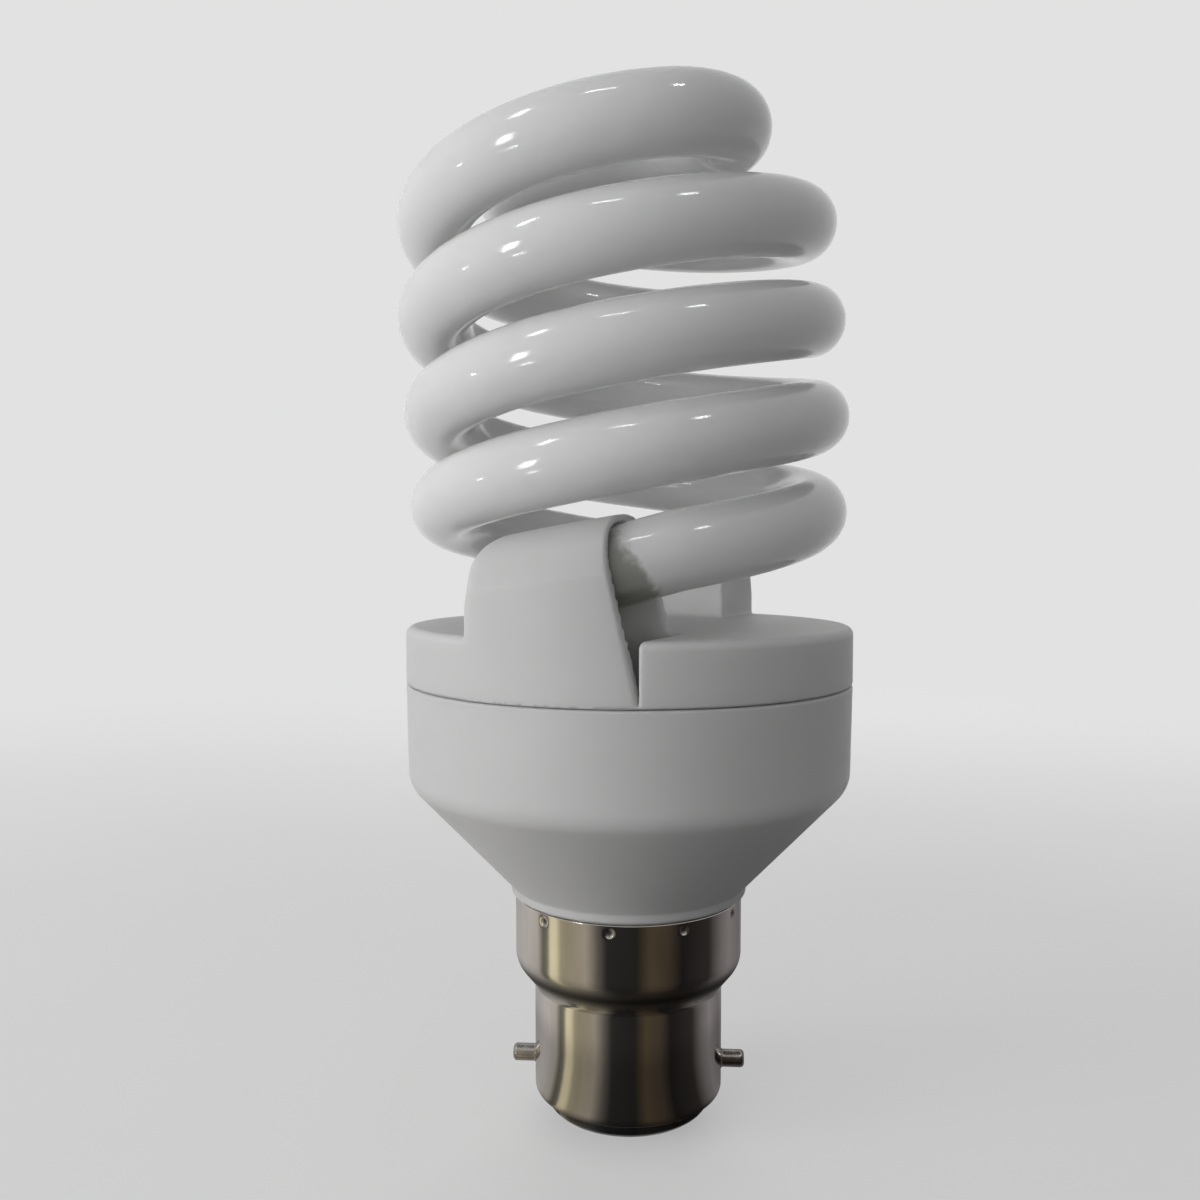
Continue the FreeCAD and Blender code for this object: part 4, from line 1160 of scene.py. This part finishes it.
@dataclass
class DischargeTube(SubAssembly):
    """Glass tube bent as a double spiral, with an S-shaped bridge at the top and two sealed feet.

    Angles are degrees along a strand. A pair of them is where a change starts and ends.
    """

    radius: float = 4.068
    spiral_radius: float = 21.2
    turn: float = 2.5
    base: float = 64.66
    bridge: float = 104.5
    bridge_lift: float = 613.0
    bridge_entry: float = 645.0
    lean: tuple[float, float] = (-0.0568, -0.0312)
    lean_blend: float = 6.0
    tilt: float = 0.02
    top_inset: float = 0.95
    inset_span: tuple[float, float] = (419.0, 624.0)
    foot_span: tuple[float, float] = (50.0, -88.0)
    foot_drop: float = 1.1
    drop_span: tuple[float, float] = (-72.0, -108.0)
    foot_end: float = -116.0
    foot_round: float = 1.2
    foot_rings: int = 10
    # Darkening of the feet, longer on the underside: partly the sealed ends' own grey, partly painted
    # shadow of the hood.
    darkening_length: float = 8.9
    darkening_sag: float = 1.3
    darkening_fade: float = 2.2
    angle_step: float = 0.1
    probe: float = 0.2
    ring_gap: float = 0.55
    columns: int = 56

    def __post_init__(self) -> None:
        """Find the angle at which a strand meets the axis."""
        self.top = self.bridge_entry + 90

    def middle(self, angle: Array, half_turn: float) -> Array:
        """Middle line of one strand.

        The strand climbs at a constant pitch on the spiral's radius. Its foot moves in to the
        hood and falls to its seat. Its top narrows, turns in on a half circle to the axis, and
        its rise ends there. Above its first turn the spiral leans.

        Args:
            angle: strand angles in degrees.
            half_turn: 0 for the first strand and 180 for the second.

        Returns:
            Points of the line.
        """
        def eased(span: tuple[float, float]) -> Array:
            """Share of a change that is done."""
            return smooth_step((angle - span[0]) / (span[1] - span[0]))

        foot = eased(self.foot_span)
        radius = self.spiral_radius + (FOOT_RADIUS - self.spiral_radius) * foot
        radius = radius - self.top_inset * eased(self.inset_span)
        radius = radius * np.cos(np.radians(np.maximum(angle - self.bridge_entry, 0)))
        climb, span = STRAND_RISE / 360, self.top - self.bridge_lift
        height = self.base + climb * angle - self.foot_drop * eased(self.drop_span)
        part, start = (angle - self.bridge_lift) / span, self.base + climb * self.bridge_lift
        ending = climb * span * part * (1 - part) ** 2
        bridge = start + (self.bridge - start) * smooth_step(part) + ending
        height = np.where(angle > self.bridge_lift, bridge, height)
        turned = np.radians(angle + self.turn + half_turn)
        across, deep = radius * np.cos(turned), radius * np.sin(turned)
        lean = np.hypot(np.maximum(height - self.base, 0), self.lean_blend) - self.lean_blend
        height = height + self.tilt * across * (1 - foot)
        return np.stack((across + self.lean[0] * lean, deep + self.lean[1] * lean, height), axis=-1)

    def tube(self) -> Surface:
        """Carry a circle along the middle line, with round ends.

        A point is m(s) + r(s) (cos v * n + sin v * u). Here m is the middle line at a length s,
        n is level and across it, u stands on both, and r falls from the tube's radius to
        nothing over the rounding of an end.

        Returns:
            The tube, with the share of the feet's darkening at each point.
        """
        angle = np.arange(self.foot_end, self.top, self.angle_step)
        there, back = HALF_TURNS
        line = np.vstack((self.middle(angle, there), self.middle(angle[::-1], back)))
        length = np.append(0.0, np.cumsum(np.linalg.norm(np.diff(line, axis=0), axis=1)))

        def at(place: Array) -> Array:
            """Points of the line at lengths along it."""
            return np.stack([np.interp(place, length, part) for part in line.T], axis=-1)

        bend = self.foot_round * (1 - np.cos(np.linspace(0, np.pi / 2, self.foot_rings)))
        count = round((length[-1] - 2 * self.foot_round) / self.ring_gap)
        run = np.linspace(self.foot_round, length[-1] - self.foot_round, count)
        along = np.concatenate((bend[:-1], run, length[-1] - bend[-2::-1]))
        middle, heading = at(along), at(along + self.probe) - at(along - self.probe)
        heading /= np.linalg.norm(heading, axis=1)[:, None]
        level = np.cross((0.0, 0.0, 1.0), heading)
        level /= np.linalg.norm(level, axis=1)[:, None]
        upright = np.cross(heading, level)
        to_end = np.minimum(along, length[-1] - along)
        short = np.maximum(self.foot_round - to_end, 0)
        radius = self.radius - self.foot_round + np.sqrt(self.foot_round ** 2 - short ** 2)
        around = np.linspace(0, 2 * np.pi, self.columns, endpoint=False)
        cosine, sine = np.cos(around)[:, None], np.sin(around)[:, None]
        circle = level[:, None] * cosine + upright[:, None] * sine
        points = (middle[:, None] + radius[:, None, None] * circle).reshape(-1, 3)
        tube = capped(points, self.columns, middle[[0, -1]])
        # Darkening towards each foot, reaching further on the underside: partly the sealed end's own grey,
        # partly painted shadow of the hood.
        reach = self.darkening_length - self.darkening_sag * np.sin(around)
        darkening = np.clip(1 - (to_end[:, None] - reach) / self.darkening_fade, 0, 1)
        tube.marks["foot"] = np.append(darkening, (1.0, 1.0))
        return tube

    def build(self) -> None:
        """Make and dress the tube, and dress what is hidden at its feet."""
        self.fit(self.tube(), "discharge_tube_bent", "discharge_tube", Finishes.GLASS)
        self.paint("tube_cement", Finishes.CEMENT)
        self.paint("filament_leads", Finishes.TINNED)


@dataclass
class Ballast(SubAssembly):
    """Circuit board with its components, closed in by the housing and the cover."""

    finishes: dict[str, Finish] = field(default_factory=lambda: {
        "circuit_board": Finishes.BOARD,
        "wire_posts": Finishes.TINNED,
        "electrolytic_capacitor": Finishes.SLEEVE,
        "choke_core": Finishes.FERRITE,
        "choke_bobbin": Finishes.BOBBIN,
        "choke_winding": Finishes.COPPER,
        "ring_core": Finishes.FERRITE,
        "ring_core_coils": Finishes.COPPER,
        "transistors": Finishes.RESIN,
        "filter_choke_core": Finishes.FERRITE,
        "filter_choke_winding": Finishes.COPPER,
        "rectifier_diodes": Finishes.RESIN,
        "film_capacitors": Finishes.FILM,
        "resistors": Finishes.LACQUER,
        "fuse_resistor": Finishes.FUSE,
        "trigger_diode": Finishes.DIODE,
    })

    def build(self) -> None:
        """Dress every component."""
        for node, finish in self.finishes.items():
            self.paint(node, finish)


@dataclass(frozen=True)
class SoftLight:
    """Rectangular lamp of the studio, aimed at the lamp that is shown.

    A wide one lights the shape and isn't mirrored. A small one is only a highlight. The radiance
    is that of its own surface.
    """

    name: str
    place: Place
    width: float
    height: float
    radiance: float
    highlight: bool = False
    aim: Place = (0.0, 0.0, 70.0)

    def build(self) -> None:
        """Add the lamp, turned to what it aims at."""
        data = bpy.data.lights.new(self.name, "AREA")
        data.shape, data.size, data.size_y = "RECTANGLE", self.width * MM, self.height * MM
        data.energy = self.radiance * math.pi * self.width * self.height * MM * MM
        lamp = bpy.data.objects.new(self.name, data)
        lamp.visible_diffuse, lamp.visible_glossy = not self.highlight, self.highlight
        away = Vector(self.place) - Vector(self.aim)
        turn = away.to_track_quat("Z", "Y").to_matrix().to_4x4()
        lamp.matrix_world = Matrix.Translation(Vector(self.place) * MM) @ turn
        bpy.context.scene.collection.objects.link(lamp)


@dataclass
class Studio:
    """Pale floor, pale surroundings, soft lamps and the camera at the photograph's view.

    The bands are tones around the lamp, by the share of a turn from its left side.
    """

    floor_radius: float = 2500.0
    floor_core: float = 0.01
    floor_power: float = 3.0
    floor_rings: int = 60
    columns: int = 96
    floor_colour: Colour = (0.90, 0.90, 0.895)
    floor_shade: float = 0.97
    floor_cloud: float = 60.0
    floor_patch: float = 20.0
    floor_detail: float = 2.0
    floor_rough: tuple[float, float] = (0.8, 0.95)
    floor_shine: float = 0.1
    floor_bounce: Colour = (0.16, 0.16, 0.16)
    floor_glow: float = 0.50
    pale: Colour = (0.76, 0.76, 0.76)
    fade_from: float = 60.0
    fade_to: float = 430.0
    ambient: Colour = (0.26, 0.26, 0.262)
    card_foot: float = 9.0
    card_radius: float = 30.0
    card_top: float = 22.0
    card_lift: float = 0.05
    card_dim: float = 0.7
    card_fade: float = 5.0
    lens: float = 34.008
    sensor: float = 36.0
    nearest: float = 1.0
    eye: Place = (5.768, -132.114, 60.956)
    turn: float = 2.5
    yaw: float = -0.0253
    pitch: float = 0.0506
    bands: tuple[tuple[float, Colour], ...] = (
        (0.000, (0.60, 0.57, 0.55)),
        (0.028, (0.54, 0.51, 0.48)),
        (0.048, (0.15, 0.145, 0.125)),
        (0.063, (0.22, 0.21, 0.16)),
        (0.073, (0.88, 0.82, 0.60)),
        (0.090, (0.84, 0.77, 0.55)),
        (0.103, (0.44, 0.40, 0.29)),
        (0.120, (0.40, 0.36, 0.27)),
        (0.165, (0.45, 0.41, 0.35)),
        (0.192, (0.14, 0.13, 0.12)),
        (0.212, (0.03, 0.03, 0.03)),
        (0.275, (0.022, 0.021, 0.020)),
        (0.305, (0.085, 0.065, 0.042)),
        (0.345, (0.065, 0.050, 0.038)),
        (0.375, (0.016, 0.015, 0.015)),
        (0.450, (0.035, 0.030, 0.030)),
        (0.495, (0.20, 0.19, 0.19)),
        (0.530, (0.28, 0.265, 0.28)),
        (0.600, (0.18, 0.17, 0.18)),
        (0.750, (0.32, 0.31, 0.32)),
        (0.900, (0.46, 0.45, 0.44)),
        (0.965, (0.62, 0.60, 0.59)),
    )
    lights: tuple[SoftLight, ...] = (
        SoftLight("key_left", (-380, -200, 80), 200, 110, 9.4),
        SoftLight("key_high", (-400, -130, 190), 160, 260, 0.95),
        SoftLight("fill_left", (-220, -400, 130), 240, 240, 2.25),
        SoftLight("fill_back", (40, 470, 150), 420, 260, 2.8),
        SoftLight("shine_window", (-382, -360, 95), 75, 130, 14.0, True),
        SoftLight("shine_table", (-150, -180, 0), 26, 16, 12.0, True),
        SoftLight("shine_high", (-308, -190, 450), 60, 80, 14.0, True),
        SoftLight("shine_dot", (-488, -160, 10), 30, 40, 14.0, True),
        SoftLight("shine_row", (-66, -245, 535), 100, 28, 14.0, True),
        SoftLight("shine_right", (210, -245, 485), 60, 45, 16.0, True),
    )

    def floor(self) -> None:
        """Lay a round floor. A ring's radius is a power of its share, so rings are finer inside."""
        shares = np.linspace(1, self.floor_core, self.floor_rings) ** self.floor_power
        outline = np.stack((self.floor_radius * shares, np.full_like(shares, GROUND)), axis=-1)
        floor = swung(outline, self.columns).as_object("floor")
        floor.data.materials.append(self.floor_material())

    def floor_material(self) -> bpy.types.Material:
        """Matt pale floor; far away the camera and reflections see the surroundings' tone.

        Returns:
            The material.
        """
        sheet = NodeSheet("pale_floor")
        seen = sheet.seen_rays()
        unseen = sheet.spread(seen, 1.0, 0.0, 0.0, 1.0)
        shaded = tuple(self.floor_shade * part for part in self.floor_colour)
        pale = sheet.tint(sheet.noise(self.floor_cloud), shaded, self.floor_colour)
        rough = sheet.spread(sheet.noise(self.floor_patch, self.floor_detail), *self.floor_rough)
        sheet.shade(Base_Color=sheet.mix(unseen, pale, self.floor_bounce), Roughness=rough)
        sheet.shade(Specular_IOR_Level=self.floor_shine)
        away = sheet.add("VectorMath", "Value", {0: sheet.place}, operation="LENGTH")
        share = sheet.spread(away, self.floor_glow, 1.0, self.fade_from * MM, self.fade_to * MM)
        glow = sheet.add("Emission", "Emission", {"Color": (*self.pale, 1)})
        sheet.blend(sheet.math("MULTIPLY", share, seen), sheet.shaded, glow)
        return sheet.material

    def card(self) -> None:
        """Set a bowl around the cap that only reflections see, with the bands on it.

        The cap's upright walls mirror what stands near them: the dark and bright sides of a room.
        """
        level = GROUND + self.card_lift
        rim, edge = (self.card_radius, self.card_top), (self.card_radius, level)
        bowl = np.array((rim, edge, (self.card_foot, level)))
        card = swung(bowl, self.columns).as_object("reflection_card")
        card.data.materials.append(self.card_material())
        card.visible_camera = card.visible_diffuse = card.visible_shadow = False

    def card_material(self) -> bpy.types.Material:
        """Glowing bands, by the angle around the lamp, that are dimmer near the floor.

        Returns:
            The material.
        """
        sheet = NodeSheet("reflection_card")
        turn = sheet.add("TexGradient", "Fac", {"Vector": sheet.place}, gradient_type="RADIAL")
        foot, full = GROUND * MM, (GROUND + self.card_fade) * MM
        rising = sheet.spread(sheet.level(), self.card_dim, 1.0, foot, full)
        inputs = {"Color": sheet.ramp(turn, self.bands), "Strength": rising}
        sheet.link(sheet.add("Emission", "Emission", inputs), sheet.surface)
        return sheet.material

    def world(self) -> None:
        """Set surroundings that are pale to look at and give weak, even light."""
        world = bpy.data.worlds.new("studio")
        bpy.context.scene.world = world
        nodes = Nodes(world, "ShaderNodeOutputWorld")
        shades = [nodes.add("Background", "Background", {"Color": (*colour, 1)})
                  for colour in (self.ambient, self.pale)]
        nodes.blend(nodes.seen_rays(), *shades)

    def camera(self) -> None:
        """Set the camera at the photograph's view, found by fitting the lamp's outline."""
        data = bpy.data.cameras.new("photo_view")
        data.lens, data.sensor_width, data.clip_start = self.lens, self.sensor, self.nearest * MM
        camera = bpy.data.objects.new("photo_view", data)
        level = math.cos(self.pitch)
        ahead = (math.sin(self.yaw) * level, math.cos(self.yaw) * level, -math.sin(self.pitch))
        ahead = Matrix.Rotation(math.radians(self.turn), 3, "Z") @ Vector(ahead)
        pose = ahead.to_track_quat("-Z", "Y").to_matrix().to_4x4()
        camera.matrix_world = Matrix.Translation(Vector(self.eye) * MM) @ pose
        bpy.context.scene.collection.objects.link(camera)
        bpy.context.scene.camera = camera

    def build(self) -> None:
        """Set up the studio."""
        self.floor()
        self.card()
        self.world()
        for light in self.lights:
            light.build()
        self.camera()
        bpy.context.scene.view_settings.view_transform = "Standard"


def main() -> None:
    """Build the lamp, piece by piece, and its studio."""
    logging.basicConfig(level=logging.INFO, format="%(name)s: %(message)s")
    cap, housing, cover = BayonetCap(), BallastHousing(), TubeHolderCover()
    for assembly in (cap, housing, cover, DischargeTube(), Ballast(), Studio()):
        assembly.build()
        log.info("%s is built", type(assembly).__name__)


if __name__ == "__main__":
    main()
